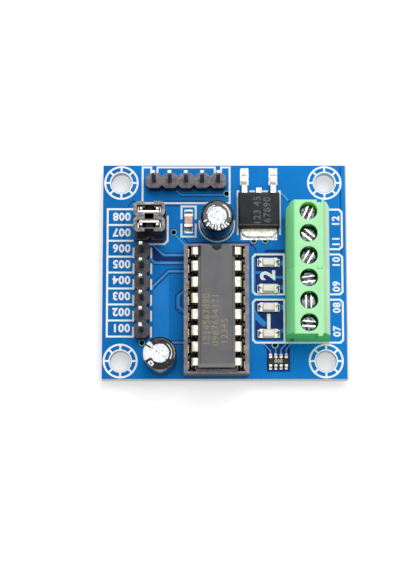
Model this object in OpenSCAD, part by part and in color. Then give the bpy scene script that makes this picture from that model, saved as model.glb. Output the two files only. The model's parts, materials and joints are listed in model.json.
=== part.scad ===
// Two-channel motor driver board: a printed board with a socketed driver chip, a six-way screw
// terminal with rising clamps, pin headers with two pull-off jumper caps, and the small parts.
// Origin: centre of the four mounting holes, on the board's underside. X runs east, Y north, Z up.
// The board is as wide and as deep as the rows of pieces on it need, so a piece or a gap that
// grows makes the board grow. Heights named _z start at the board's top face.

/* [Board] */
// Thickness of the board
board_t = 1.6; // [1:0.1:2]
// Middle of the west mounting holes, from the board's west edge
hole_west = 2.9; // [2.8:0.05:3.1]
// Middle of the east mounting holes, from the board's east edge
hole_east = 3.3; // [3.1:0.05:3.5]
// Middle of the mounting holes, from the board's north and south edges
hole_inset = 2.85; // [2.8:0.05:3]
// Mounting hole diameter
hole_d = 3.2; // [2.6:0.1:3.4]
// How far the snapped south and east edges stand out between their scores
snap_out = 0.2; // [0.1:0.05:0.3]
// Diameter of a plated through hole for signals
via_d = 0.5; // [0.3:0.05:0.7]
// How far every trimmed lead stands below the board
tail_len = 1.4; // [1:0.1:2]
// Height of a solder fillet under the board
fillet_h = 0.9; // [0.5:0.05:1]
// Width of the solder around a lead at the board
fillet_lip = 0.42; // [0.3:0.02:0.45]

/* [Printed legend] */
// Width of a printed line
line_w = 0.3; // [0.2:0.02:0.36]
// Thickness of the printed ink
ink_t = 0.03; // [0.02:0.005:0.05]
// Outer diameter of the ring printed round a mounting hole
ring_d = 5.5; // [5:0.1:5.7]

/* [Pin headers] */
// Pitch of the headers and of the chip's leads
pitch = 2.54; // [2.5:0.01:2.56]
// Width of a square header pin
pin_w = 0.64; // [0.5:0.02:0.66]
// Height of a header pin above its strip
pin_rise = 6; // [5:0.1:7]
// Length of the tapered tip of a pin
tip_len = 0.4; // [0.2:0.05:0.6]
// Height of a header's plastic strip
strip_h = 2.5; // [2.2:0.05:2.8]
// Width of a single-row plastic strip
strip_w = 2.4; // [2.2:0.02:2.5]
// Corner cut between the cells of a strip
strip_cut = 0.5; // [0.3:0.05:0.7]
// Pins of the input header
input_pins = 6; // [4:1:6]
// Pins of the supply header
supply_pins = 5; // [3:1:5]

/* [Jumper caps] */
// Length of a jumper cap, across its two pins
cap_len = 4.9; // [4.7:0.02:5]
// Width of a jumper cap
cap_w = 2.36; // [2.3:0.01:2.4]
// Height of a jumper cap
cap_h = 6.1; // [5.6:0.1:6.6]
// Length of the notch in each long side of a cap
notch_len = 1.4; // [1:0.05:1.6]
// Depth of that notch
notch_in = 0.42; // [0.3:0.02:0.46]
// Thickness of the contact sheet inside a cap
clip_t = 0.15; // [0.1:0.01:0.16]

/* [Chip and socket] */
// Contact pairs of the socket
socket_pairs = 8; // [4:1:8]
// Spacing of the two rows of contacts
row_gap = 7.62; // [7.5:0.02:7.7]
// Height of the socket frame
socket_h = 4.2; // [3.8:0.1:4.6]
// From a row of contacts to the socket's outer face
socket_side = 1.29; // [1.25:0.01:1.4]
// Thickness of the socket's outer walls
socket_wall = 0.65; // [0.5:0.05:0.7]
// Thickness of the socket's walls beside the middle opening
inner_wall = 0.6; // [0.4:0.05:0.7]
// Thickness of the ribs between contact cells
rib_t = 0.55; // [0.4:0.05:0.7]
// How far the ribs lie below the outer wall
rib_drop = 0.5; // [0.2:0.05:0.8]
// How far the rows of leads stand out from the chip's body
lead_reach = 0.91; // [0.85:0.02:1.1]
// How far the chip's long sides lean in
chip_lean = 0.5; // [0.4:0.05:0.6]
// Thickness of the chip's moulded body
chip_t = 3.3; // [3:0.1:3.6]
// Gap between the chip's body and the socket
chip_gap = 0.4; // [0.2:0.05:0.6]
// Thickness of the chip's leads
lead_t = 0.25; // [0.2:0.01:0.3]
// Width of a lead's shoulder
lead_w = 1.52; // [1.3:0.02:1.6]
// Width of a lead's blade inside the socket
blade_w = 0.5; // [0.4:0.02:0.6]
// Radius of the notch at the chip's north end
chip_notch_r = 0.75; // [0.5:0.05:1]

/* [Screw terminal] */
// Pitch of the wire entries
way_pitch = 3.5; // [3.48:0.01:3.54]
// Wire entries in each of the two blocks
ways = 3; // [2:1:3]
// Depth of a block, from its back to its wire entries
block_depth = 7; // [6.8:0.05:7.2]
// Height of a block
block_h = 8.5; // [8.2:0.1:9]
// Height at which the back starts to slope
slope_z = 5; // [4.5:0.1:6]
// How far the back slopes in at the top
slope_in = 1.05; // [0.8:0.05:1.3]
// How far the front slopes in at the top
front_in = 1.45; // [1.2:0.05:1.6]
// Corner cut at the outer end of the blocks
end_cut = 0.7; // [0.4:0.05:0.8]
// Depth of the dovetail that joins the blocks
dovetail_in = 0.35; // [0.3:0.05:0.45]
// Width of the dovetail at its root
dovetail_w = 0.6; // [0.5:0.05:0.7]
// Running gap of the dovetail
dovetail_gap = 0.05; // [0.03:0.01:0.08]
// Diameter of the screwdriver holes
driver_hole_d = 2.8; // [2.6:0.05:2.9]
// Side of the square wire entries
entry_w = 2.4; // [2.2:0.05:2.5]
// How far the wire entries flare at the front face
entry_flare = 0.3; // [0.1:0.05:0.35]
// Diameter of a screw's head
head_d = 2.5; // [2.3:0.05:2.55]
// Height of a screw's head
head_h = 0.8; // [0.7:0.05:0.85]
// How deep a screw's head lies below the top of the block
head_sink = 1.5; // [1.2:0.05:1.55]
// Diameter of a screw's shank
shank_d = 1.8; // [1.6:0.05:1.9]
// Width of a screw's slot
slot_w = 0.5; // [0.4:0.05:0.6]
// Depth of a screw's slot
slot_deep = 0.5; // [0.3:0.05:0.6]
// Running gap between a screw and what it turns in
screw_gap = 0.05; // [0.03:0.01:0.08]
// Depth of a clamp cage
cage_d = 2.6; // [2.4:0.05:2.8]
// Thickness of a cage's side walls
cage_wall = 0.35; // [0.3:0.01:0.38]
// Thickness of a cage's floor
cage_floor = 0.6; // [0.4:0.05:0.7]
// Thickness of a cage's threaded roof
cage_roof = 0.7; // [0.6:0.05:0.75]
// Height of the wire space when a clamp is open
wire_space = 1.8; // [1.75:0.05:1.9]
// Sliding gap round a cage
cage_gap = 0.06; // [0.04:0.01:0.08]
// Thickness of a contact strap
strap_t = 0.5; // [0.4:0.05:0.55]
// Width of a contact strap
strap_w = 1.5; // [1.3:0.05:1.6]
// Width of a strap's solder leg
leg_w = 0.9; // [0.7:0.05:0.95]

/* [Round capacitors] */
// Outer diameter of a sleeved capacitor
can_d = 5.2; // [5:0.05:5.3]
// Height of a capacitor
can_h = 6.8; // [6:0.1:8]
// Thickness of the shrink sleeve
sleeve_t = 0.1; // [0.08:0.01:0.14]
// Diameter of the bare disc inside the sleeve's rim
disc_d = 2.95; // [2.6:0.05:3.2]
// Depth of the groove rolled into a can
crimp_in = 0.25; // [0.15:0.05:0.35]
// Spacing of a capacitor's two leads
can_pitch = 2; // [1.8:0.05:2.2]
// Diameter of a capacitor's leads
wire_d = 0.5; // [0.4:0.02:0.56]
// Thickness of a capacitor's rubber seal
seal_t = 1.3; // [1:0.1:1.6]

/* [Surface-mounted pieces] */
// Thickness of a tinned land
land_t = 0.05; // [0.03:0.01:0.08]
// Width of the regulator's body
reg_w = 6.6; // [6.4:0.05:6.7]
// Depth of the regulator's body
reg_d = 5.7; // [5.5:0.05:5.8]
// Height of the regulator's body
reg_h = 2.3; // [2.1:0.05:2.4]
// Width of the regulator's tab
tab_w = 5.4; // [5.2:0.05:5.6]
// How far the regulator's tab stands out of its body
tab_out = 1.2; // [1:0.05:1.3]
// Spacing of the regulator's two outer leads
reg_pitch = 4.57; // [4.5:0.01:4.6]
// Width of the regulator's leads
reg_lead_w = 0.86; // [0.7:0.02:0.9]
// Thickness of the regulator's tab and leads
reg_metal_t = 0.5; // [0.45:0.01:0.55]
// Length of the ceramic capacitor
chip_cap_len = 2; // [1.9:0.05:2.1]
// Width of the ceramic capacitor
chip_cap_w = 1.25; // [1.15:0.05:1.3]
// Height of the ceramic capacitor
chip_cap_h = 1; // [0.8:0.05:1.2]
// Length of an indicator lamp
lamp_len = 2.9; // [2.7:0.05:3]
// Width of an indicator lamp
lamp_w = 1.4; // [1.35:0.05:1.5]
// Length of a lamp's clear lens
lens_len = 2; // [1.8:0.05:2.1]
// Height of a lamp's lens
lens_h = 0.6; // [0.5:0.05:0.7]
// Thickness of a lamp's base
lamp_base_t = 0.5; // [0.4:0.05:0.6]
// Length of the resistor array
array_len = 3.2; // [3.1:0.02:3.3]
// Width of the resistor array
array_w = 1.6; // [1.5:0.02:1.7]
// Height of the resistor array
array_h = 0.5; // [0.4:0.02:0.6]
// Pitch of the array's terminals
array_pitch = 0.82; // [0.8:0.01:0.84]

/* [Places] */
// Supply header, from the board's west edge to its middle
supply_from_west = 13.23; // [13:0.05:13.6]
// Supply header, from the board's north edge
supply_inset = 3; // [2.8:0.05:3.1]
// Input header, from the board's west edge
input_inset = 6.31; // [6.2:0.05:6.5]
// Board left free south of the input header
input_south = 6.19; // [6:0.05:6.4]
// Enable header, from the board's west edge to its middle
enable_inset = 7.57; // [7.5:0.05:7.8]
// Middle of the enable header, from the board's north edge
enable_north = 10.08; // [10:0.05:10.2]
// Gap between the input header and the enable header
header_gap = 0.35; // [0.3:0.05:0.45]
// Board left free between the input header and the socket
track_gap = 5.4; // [5.2:0.05:5.6]
// Board left free south of the socket
socket_south = 0.38; // [0.3:0.02:0.5]
// Gap between the socket and the north capacitor
can_gap = 1.4; // [1.3:0.05:1.6]
// Gap between the north capacitor and the supply header
supply_gap = 2.82; // [2.7:0.05:3]
// Gap between the socket and the lamps' printed boxes
box_clear = 0.54; // [0.5:0.02:0.7]
// Width of the lamps' printed boxes, up to the terminal
box_w = 5.3; // [5.2:0.05:5.5]
// Front of the screw terminal, from the board's east edge
block_inset = 2.65; // [2.5:0.05:2.8]
// Board left free south of the terminal
block_south = 5.95; // [5.8:0.05:6.1]
// Board left free north of the terminal
block_north = 7.45; // [7.3:0.05:7.6]
// Gap between the regulator and the terminal
reg_clear = 0.84; // [0.7:0.02:0.9]
// Middle of the regulator, from the board's north edge
reg_north = 7.6; // [7.5:0.05:7.7]
// Gap between the regulator and the north capacitor
can_clear = 0.78; // [0.6:0.02:0.9]
// Gap between the north capacitor and the ceramic capacitor
chip_cap_clear = 1.275; // [1.1:0.025:1.4]
// Middle of the ceramic capacitor, from the board's north edge
chip_cap_north = 9.15; // [9.1:0.05:9.3]
// Middle of the resistor array, east of the lamps' middle
array_east = 1.47; // [1.4:0.01:1.55]
// Middle of the resistor array, from the board's south edge
array_south = 2.75; // [2.7:0.05:2.9]
// Gap between the socket and the south capacitor
can_west = 1.07; // [1:0.02:1.2]
// Gap between the south capacitor and the board's south edge
can_south = 0.56; // [0.4:0.02:0.7]

/* [Hidden] */

$fn = 48;
// A cut runs this far past the face that it opens
over = 0.5;
// Gap left between ink and the pieces beside it
ink_gap = 0.05;

// The row from the input header to the terminal sets the board's width, and the longest of the
// three columns of pieces its depth
socket_len = socket_pairs * pitch + 0.08;
socket_w = row_gap + 2 * socket_side;
block_len = ways * way_pitch;
board_w = input_inset + strip_w / 2 + track_gap + socket_w + box_clear + box_w + block_depth
    + block_inset;
board_d = max(
    socket_south + socket_len + can_gap + can_d + supply_gap + strip_w / 2 + supply_inset,
    input_south + (input_pins + 1) * pitch + header_gap + enable_north,
    block_south + 2 * block_len + block_north);
hole_dx = board_w - hole_west - hole_east;
hole_dy = board_d - 2 * hole_inset;
west = -hole_dx / 2 - hole_west;
east = hole_dx / 2 + hole_east;
north = board_d / 2;
south = -board_d / 2;

// Places of the pieces on the board
supply_x = west + supply_from_west;
supply_y = north - supply_inset;
enable_x = west + enable_inset;
enable_y = north - enable_north;
input_x = west + input_inset;
input_y = enable_y - pitch - header_gap - input_pins * pitch / 2;
socket_x = input_x + strip_w / 2 + track_gap + socket_w / 2;
socket_y = south + socket_south + socket_len / 2;
block_front = east - block_inset;
block_back = block_front - block_depth;
block_y = south + block_south + block_len;
reg = [block_back - reg_clear - reg_w / 2, north - reg_north];
can_1 = [reg.x - reg_w / 2 - can_clear - can_d / 2, supply_y - strip_w / 2 - supply_gap - can_d / 2];
can_2 = [socket_x - socket_w / 2 - can_west - can_d / 2, south + can_south + can_d / 2];
chip_cap = [can_1.x - can_d / 2 - chip_cap_clear - chip_cap_w / 2, north - chip_cap_north];
lamp_x = block_back - box_w / 2;
channel_pitch = 2 * way_pitch + 0.2;
lamp_half_gap = 2.1;
lamps = [for (k = [0, 1], s = [1, -1]) [lamp_x, block_y - k * channel_pitch + s * lamp_half_gap + 0.02]];
array_at = [lamp_x + array_east, south + array_south];
vias = [chip_cap + [-2.37, -1.75],
        [supply_x + supply_pins * pitch / 2 + 0.11, supply_y - strip_w / 2 - 0.41],
        reg + [-0.83, -4.62], reg + [0.99, -4.62], array_at + [-0.5, 2.65],
        [input_x - 0.03, input_y - input_pins * pitch / 2 - 0.45]];

// Drill diameters
pin_drill = pin_w * sqrt(2) + 0.1;
tail_drill = 0.9;
leg_drill = 1.15;
wire_drill = wire_d + 0.3;

// Lead places
input_at = [for (i = [0:input_pins - 1]) [input_x, input_y + (i - (input_pins - 1) / 2) * pitch]];
supply_at = [for (i = [0:supply_pins - 1])
    [supply_x + (i - (supply_pins - 1) / 2) * pitch, supply_y]];
enable_at = [for (i = [-1, 1], j = [-1, 1]) [enable_x + i * pitch / 2, enable_y + j * pitch / 2]];
contact_y = [for (i = [0:socket_pairs - 1]) (i - (socket_pairs - 1) / 2) * pitch];
socket_at = [for (s = [-1, 1], y = contact_y) [socket_x + s * row_gap / 2, socket_y + y]];

// Screw terminal, measured from the screw's axis at the board's top
axis_back = 3.3;
axis_x = block_back + axis_back;
// The shank passes between the cage's walls
wire_w = shank_d + 4 * screw_gap;
cage_w = wire_w + 2 * cage_wall;
leg_x = -cage_d / 2 - 0.15 - strap_t / 2;
ways_y = [for (i = [0:2 * ways - 1]) block_y + (ways - 0.5 - i) * way_pitch];
legs_at = [for (y = ways_y) [axis_x + leg_x, y]];
cage_z = 0.35;
wire_z = cage_z + cage_floor;
strap_z = wire_z + wire_space;
strap_top = strap_z + strap_t;
cage_slack = 0.2;
roof_z = strap_top + cage_slack;
cage_top = roof_z + cage_roof;
cage_travel = 1.7;
pocket_top = cage_top + cage_travel + 0.05;
head_z = block_h - head_sink - head_h;
pocket_w = cage_w + 2 * cage_gap;
pocket_back = leg_x - strap_t / 2;
pocket_front = cage_d / 2 + 0.25;
entry_z = wire_z - 0.05;

// Socket cells and contacts
rail_in = 1.26;
inner_gap = row_gap - 2 * rail_in;
cell_w = pitch - rib_t;
cell_out = socket_w / 2 - socket_wall;
cell_in = inner_gap / 2 + inner_wall;
contact_z = 0.5;
contact_t = 0.25;
contact_w = 1.3;
tail_w = 0.45;
fork_t = 0.15;
leaf_out = cell_out - row_gap / 2 - 0.02;
leaf_top = socket_h - rib_drop - contact_z - 0.1;

// Capacitor leads: the first stands north and south, the second west and east
can_1_at = [for (s = [-1, 1]) can_1 + [0, s * can_pitch / 2]];
can_2_at = [for (s = [-1, 1]) can_2 + [s * can_pitch / 2, 0]];

// Chip heights
chip_z = socket_h + chip_gap;
parting_z = chip_z + chip_t / 2;
chip_end = 0.66;
chip_len = (socket_pairs - 1) * pitch + 2 * chip_end;
chip_top_len = chip_len - 0.6;
chip_w = row_gap - 2 * lead_reach;
chip_top_w = chip_w - 2 * chip_lean;

module lift(z = 0) translate([0, 0, board_t + z]) children();

module at_each(places) for (p = places) translate([p.x, p.y, 0]) children();

// A centred plate from z upwards
module plate(w, d, z, h) translate([-w / 2, -d / 2, z]) cube([w, d, h]);

// A rectangle given by two corners
module span(a, b) translate(a) square(b - a);

// A rectangle with its four corners cut at 45 degrees
function cut_box(a, b, c) = [
    [a.x + c, a.y], [b.x - c, a.y], [b.x, a.y + c], [b.x, b.y - c],
    [b.x - c, b.y], [a.x + c, b.y], [a.x, b.y - c], [a.x, a.y + c]];

// Four legs of a solid whose sides lean in two directions: [half width, z] pairs each way
module draft_block(xz, yz) {
    function mirror_pairs(p) = concat(p, [for (i = [len(p) - 1:-1:0]) [-p[i].x, p[i].y]]);
    reach = 2 * max([for (p = concat(xz, yz)) p.x]) + over;
    intersection() {
        rotate([90, 0, 0]) translate([0, 0, -reach]) linear_extrude(2 * reach)
            polygon(mirror_pairs(xz));
        rotate([90, 0, 90]) translate([0, 0, -reach]) linear_extrude(2 * reach)
            polygon(mirror_pairs(yz));
    }
}

// A square pin with tapered tips, from z_low to z_high
module square_pin(w, z_low, z_high) {
    tip = w * 0.22;
    side = [[tip, z_low], [w / 2, z_low + tip_len], [w / 2, z_high - tip_len], [tip, z_high]];
    draft_block(side, side);
}

// Solder fillet under the board round a lead cut out by the child
module fillet(r) {
    translate([0, 0, -fillet_h]) difference() {
        cylinder(h = fillet_h, r1 = r + fillet_lip * 0.2, r2 = r + fillet_lip);
        translate([0, 0, -over]) linear_extrude(fillet_h + 2 * over) children();
    }
}

// A printed frame with cut corners
module print_frame(a, b, cut) {
    w = [line_w, line_w];
    difference() {
        polygon(cut_box(a, b, cut));
        polygon(cut_box(a + w, b - w, max(cut - line_w * 0.4, 0.01)));
    }
}

// A scored edge that was snapped: its middle stands out of the scores
module snapped_edge(length) {
    rotate([90, 0, 90]) linear_extrude(length)
        polygon([[over, 0], [over, board_t], [0, board_t], [-snap_out, board_t * 0.7],
                 [-snap_out, board_t * 0.3], [0, 0]]);
}

module circuit_board() {
    color("#0A72C0") difference() {
        union() {
            translate([west, south, 0]) cube([board_w, board_d, board_t]);
            translate([west, south, 0]) snapped_edge(board_w);
            translate([east, south, 0]) rotate(90) snapped_edge(board_d);
        }
        translate([0, 0, -over]) linear_extrude(board_t + 2 * over) {
            for (x = [-1, 1], y = [-1, 1])
                translate([x * hole_dx / 2, y * hole_dy / 2]) circle(d = hole_d);
            at_each(concat(input_at, supply_at, enable_at)) circle(d = pin_drill);
            at_each(socket_at) circle(d = tail_drill);
            at_each(legs_at) circle(d = leg_drill);
            at_each(concat(can_1_at, can_2_at)) circle(d = wire_drill);
            at_each(vias) circle(d = via_d);
        }
    }
}

// Lands of the surface-mounted pieces
reg_foot = [north - 3, north - 1.8];
reg_land_w = 1.35;
reg_body_y = [reg.y - reg_d / 2, reg.y + reg_d / 2];
tab_end = reg_body_y[0] - tab_out;
chip_land = 1.92;

module tinned_pads() {
    color("#DAD8D2") lift() linear_extrude(land_t) {
        for (s = [-1, 1]) {
            translate([reg.x + s * reg_pitch / 2, (reg_foot[0] + north - 0.45) / 2 - 0.1])
                square([reg_land_w, north - 0.45 - reg_foot[0] + 0.2], center = true);
            translate([chip_cap.x, chip_cap.y + s * (chip_land - 0.6)])
                square([chip_cap_w + 0.1, 1.2], center = true);
        }
        span([reg.x - tab_w / 2 - 0.2, tab_end - 0.5], [reg.x + tab_w / 2 + 0.2, reg.y + 1.5]);
        at_each(lamps) for (s = [-1, 1])
            translate([s * (lamp_len / 2 - 0.05), 0]) square([0.7, lamp_w - 0.2], center = true);
        for (s = [-1, 1], i = [-1.5:1:1.5])
            translate([array_at.x + i * array_pitch, array_at.y + s * (array_w / 2 + 0.1)])
                square([0.42, 0.7], center = true);
    }
}

// White frames, rings and cells, with no words
box_gap = 0.55;
box_pitch = 2 * way_pitch + 0.28;
cell_pitch = 2.565;
// The lowest line passes just south of the terminal
frame_low = block_y - block_len - line_w - 0.03;
supply_reach = 7.1;
supply_low = 3.3;
chip_frame = [1.28, 2.6];
reg_reach = 3.5;
box_y = block_y + 0.25;
cell_left = west + 0.6;
cell_right = input_x - strip_w / 2 - 0.25;

module hole_ring() {
    difference() {
        circle(d = ring_d);
        circle(d = ring_d - 2 * line_w);
    }
    difference() {
        circle(d = hole_d + 0.2 + line_w);
        circle(d = hole_d + 0.1);
    }
    for (a = [0:45:315]) rotate(a) translate([hole_d / 2 + 0.15, -line_w / 2])
        square([ring_d / 2 - hole_d / 2 - line_w, line_w]);
}

module supply_frame() {
    a = [supply_x - supply_reach, supply_y - supply_low];
    b = [supply_x + supply_reach, north - 0.15];
    pin = (supply_pins - 1) / 2 * pitch;
    difference() {
        print_frame(a, b, 0.01);
        for (s = [-1, 1]) translate([supply_x + s * pin - 0.35, b.y - line_w - 0.1])
            square([0.7, line_w + 0.2]);
    }
    for (s = [-1, 1], t = [-1, 1])
        translate([supply_x + s * pin + t * (0.35 + line_w / 2) - line_w / 2, b.y - 1.2])
            square([line_w, 1.2]);
}

module input_cells() {
    rows = input_pins + 2;
    low = input_y - input_pins / 2 * pitch + 0.4;
    span([cell_left, low], [cell_left + line_w, low + rows * cell_pitch + line_w]);
    for (i = [0:rows])
        span([cell_left + line_w, low + i * cell_pitch], [cell_right, low + i * cell_pitch + line_w]);
    for (p = input_at) for (s = [-1, 1])
        span([p.x + s * (strip_w / 2 + 0.2) - line_w / 2, p.y - 0.85],
             [p.x + s * (strip_w / 2 + 0.2) + line_w / 2, p.y + 0.85]);
}

module enable_frame() {
    half = pitch + ink_gap + line_w;
    difference() {
        print_frame([enable_x - half, enable_y - half], [enable_x + half, enable_y + half], 0.6);
        span([enable_x - half - 1, enable_y - half - 1], [enable_x - half + 1, enable_y + half + 1]);
        span([enable_x - half - 1, enable_y + half - 1], [enable_x + half + 1, enable_y + half + 1]);
    }
}

module regulator_frame() {
    a = [reg.x - reg_reach, tab_end];
    b = [reg.x + reg_reach, reg_body_y[1] + 0.68];
    difference() {
        print_frame(a, b, 0.01);
        span([a.x - over, a.y - over], [b.x + over, a.y + line_w]);
        for (s = [-1, 1]) translate([reg.x + s * reg_pitch / 2, b.y])
            square([reg_land_w + 5 * ink_gap, 2 * over + line_w], center = true);
        translate([reg.x, b.y]) square([reg_lead_w + 5 * ink_gap, 2 * over + line_w], center = true);
    }
}

module legend_print() {
    color("#F4F8F8") lift() linear_extrude(ink_t) {
        for (x = [-1, 1], y = [-1, 1]) translate([x * hole_dx / 2, y * hole_dy / 2]) hole_ring();
        supply_frame();
        input_cells();
        enable_frame();
        regulator_frame();
        difference() {
            print_frame(chip_cap - chip_frame, chip_cap + chip_frame, 0.01);
            translate(chip_cap) square([2 * chip_frame.x + over, 0.7], center = true);
        }
        difference() {
            translate(can_1) circle(r = can_d / 2 + 0.32);
            translate(can_1) circle(r = can_d / 2 + 0.1);
            span([can_1.x - can_d, can_1.y + 0.7], can_1 + [can_d, can_d]);
        }
        // Channel boxes west of the terminal
        for (k = [0, 1]) {
            top = box_y + box_pitch / 2 - box_gap / 2 - k * box_pitch;
            low = k == 0 ? top - box_pitch + box_gap : frame_low;
            difference() {
                print_frame([block_back - box_w, low], [block_back + 2, top], 0.5);
                span([block_back - ink_gap, low - over], [block_back + 2 + over, top + over]);
            }
            span([block_back - ink_gap - line_w, low + line_w], [block_back - ink_gap, top - line_w]);
        }
        span([block_back - line_w, frame_low], [block_front + line_w, frame_low + line_w]);
        // Label boxes east of the terminal
        for (k = [-1, 0, 1]) {
            top = box_y + box_pitch / 2 - box_gap / 2 - k * box_pitch;
            low = k < 1 ? top - box_pitch + box_gap : frame_low;
            difference() {
                print_frame([block_front - 2, low], [east - 0.45, top], 0.5);
                span([block_front - 2 - over, low - over], [block_front + ink_gap, top + over]);
            }
        }
    }
}

module through_hole_solder() {
    color("#C9C9C6") {
        at_each(concat(input_at, supply_at, enable_at)) fillet(pin_drill / 2)
            square(pin_w, center = true);
        at_each(socket_at) fillet(tail_drill / 2) square([contact_t, tail_w], center = true);
        at_each(legs_at) fillet(leg_drill / 2) square([strap_t, leg_w], center = true);
        at_each(concat(can_1_at, can_2_at)) fillet(wire_drill / 2) circle(d = wire_d);
    }
}

// A wedge of solder against a face that looks along +X
module wedge(w, out, h) {
    rotate([90, 0, 0]) translate([0, 0, -w / 2]) linear_extrude(w)
        polygon([[0, 0], [out, 0], [out * 0.35, h * 0.35], [0, h]]);
}

module surface_solder() {
    color("#CFCFCB") lift(land_t) {
        at_each(lamps) for (a = [0, 180]) rotate(a) translate([lamp_len / 2, 0, 0])
            wedge(lamp_w - 0.5, 0.22, lamp_base_t * 0.8);
        translate([chip_cap.x, chip_cap.y, 0]) for (a = [90, 270]) rotate(a)
            translate([chip_cap_len / 2 + end_lap, 0, 0]) wedge(chip_cap_w, 0.6, chip_cap_h * 0.7);
        translate([array_at.x, array_at.y, 0]) for (a = [90, 270], i = [-1.5:1:1.5]) rotate(a)
            translate([array_w / 2 + end_lap, i * array_pitch, 0]) wedge(0.34, 0.2, array_h * 0.7);
        translate([reg.x, reg_foot[1], 0]) for (s = [-1, 1]) translate([s * reg_pitch / 2, 0, 0])
            rotate(90) wedge(reg_lead_w, 0.35, reg_metal_t * 0.8);
    }
}

// Socket: each contact is a folded fork whose leaves pinch the chip's blade

module contact_outline() {
    // One leaf from the base to the mouth: outer side going up, inner side coming down
    pinch = lead_t / 2 + 0.02;
    leaf = [[leaf_out, 0], [leaf_out, 0.8], [pinch + fork_t, 1.6], [leaf_out, 2.5],
            [leaf_out, leaf_top], [leaf_out - fork_t, leaf_top], [leaf_out - fork_t, 2.5],
            [pinch, 1.6], [leaf_out - fork_t, 0.8], [leaf_out - fork_t, fork_t]];
    polygon(concat(leaf, [for (i = [len(leaf) - 1:-1:0]) [-leaf[i].x, leaf[i].y]]));
}

module socket_contacts() {
    color("#C2A983") lift() at_each(socket_at) {
        translate([0, 0, contact_z]) rotate([90, 0, 0]) translate([0, 0, -contact_w / 2])
            linear_extrude(contact_w) contact_outline();
        plate(contact_t, tail_w, -board_t - tail_len, board_t + tail_len + contact_z);
    }
}

module socket_frame() {
    color("#2B2B2E") lift() translate([socket_x, socket_y, 0]) difference() {
        plate(socket_w, socket_len, 0, socket_h);
        // Middle opening between the rails
        plate(inner_gap, socket_len - 2 * 1.3, -over, socket_h + 2 * over);
        // The ribs and inner walls lie lower than the outer walls
        plate(socket_w - 2 * socket_wall, socket_len - 2 * socket_wall,
              socket_h - rib_drop, rib_drop + over);
        // Contact cells, open at the top, with a slot for the tail
        for (s = [-1, 1], y = contact_y) {
            translate([s * (cell_in + cell_out) / 2, y, 0])
                plate(cell_out - cell_in, cell_w, contact_z, socket_h);
            translate([s * row_gap / 2, y, 0])
                plate(contact_t, tail_w, -over, contact_z + 2 * over);
        }
        // Half-round mark at the north end
        translate([0, socket_len / 2, socket_h - rib_drop]) cylinder(h = socket_h, r = 1);
    }
}

module driver_chip_body() {
    zs = [chip_z, parting_z - lead_t / 2, parting_z + lead_t / 2, chip_z + chip_t];
    color("#5C5C61") lift() translate([socket_x, socket_y, 0]) difference() {
        draft_block(
            [[chip_top_w / 2, zs[0]], [chip_w / 2, zs[1]], [chip_w / 2, zs[2]],
             [chip_top_w / 2, zs[3]]],
            [[chip_top_len / 2, zs[0]], [chip_len / 2, zs[1]], [chip_len / 2, zs[2]],
             [chip_top_len / 2, zs[3]]]);
        translate([0, chip_top_len / 2, chip_z + chip_t - 0.6]) cylinder(h = 1, r = chip_notch_r);
        for (s = [-1, 1], y = contact_y) translate([0, y, 0]) lead_root(s);
    }
}

// Inner end of a lead, seated in the body
lead_in = 0.6;
module lead_root(s) {
    translate([s * (chip_w / 2 - lead_in / 2), 0, 0]) plate(lead_in, 1, parting_z - lead_t / 2, lead_t);
}

// One lead seen along the row: a shoulder with a round bend, and a blade into the socket
bend_r = 0.4;
blade_low = 1.4;
module driver_chip_leads() {
    out = row_gap / 2 + lead_t / 2;
    top = parting_z + lead_t / 2;
    shoulder_low = socket_h - rib_drop + 0.1;
    color("#D9D6CC") lift() for (s = [0, 1], i = [0:socket_pairs - 1])
        translate([socket_x, socket_y + contact_y[i], 0]) mirror([s, 0, 0]) {
            // Corner leads have no shoulder on their outer side
            low = i == 0 ? -lead_w / 4 : -lead_w / 2;
            high = i == socket_pairs - 1 ? lead_w / 4 : lead_w / 2;
            rotate([90, 0, 0]) translate([0, 0, -high]) linear_extrude(high - low) {
                difference() {
                    union() {
                        span([chip_w / 2, top - lead_t], [out - bend_r, top]);
                        span([out - lead_t, shoulder_low], [out, top - bend_r]);
                        intersection() {
                            translate([out - bend_r, top - bend_r]) circle(r = bend_r);
                            span([out - bend_r, top - bend_r], [out, top]);
                        }
                    }
                    intersection() {
                        translate([out - bend_r, top - bend_r]) circle(r = bend_r - lead_t);
                        span([out - bend_r, top - bend_r], [out, top]);
                    }
                }
            }
            lead_root(1);
            translate([row_gap / 2, 0, 0]) plate(lead_t, blade_w, blade_low, shoulder_low - blade_low);
        }
}

// Housing of one block, from its south face at y = 0 to block_len
module housing_outline() {
    polygon([[block_back, 0], [block_back, slope_z], [block_back + slope_in, block_h],
             [block_front - front_in, block_h], [block_front - 0.3, slope_z], [block_front, 0]]);
}

dovetail_back = 5;
dovetail_low = 4;
dovetail_x = block_back + dovetail_back;
module dovetail(gap) {
    r = dovetail_w / 2 + gap;
    polygon([[-r, 0], [-r - 0.1, dovetail_in + gap], [r + 0.1, dovetail_in + gap], [r, 0]]);
}

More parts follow.
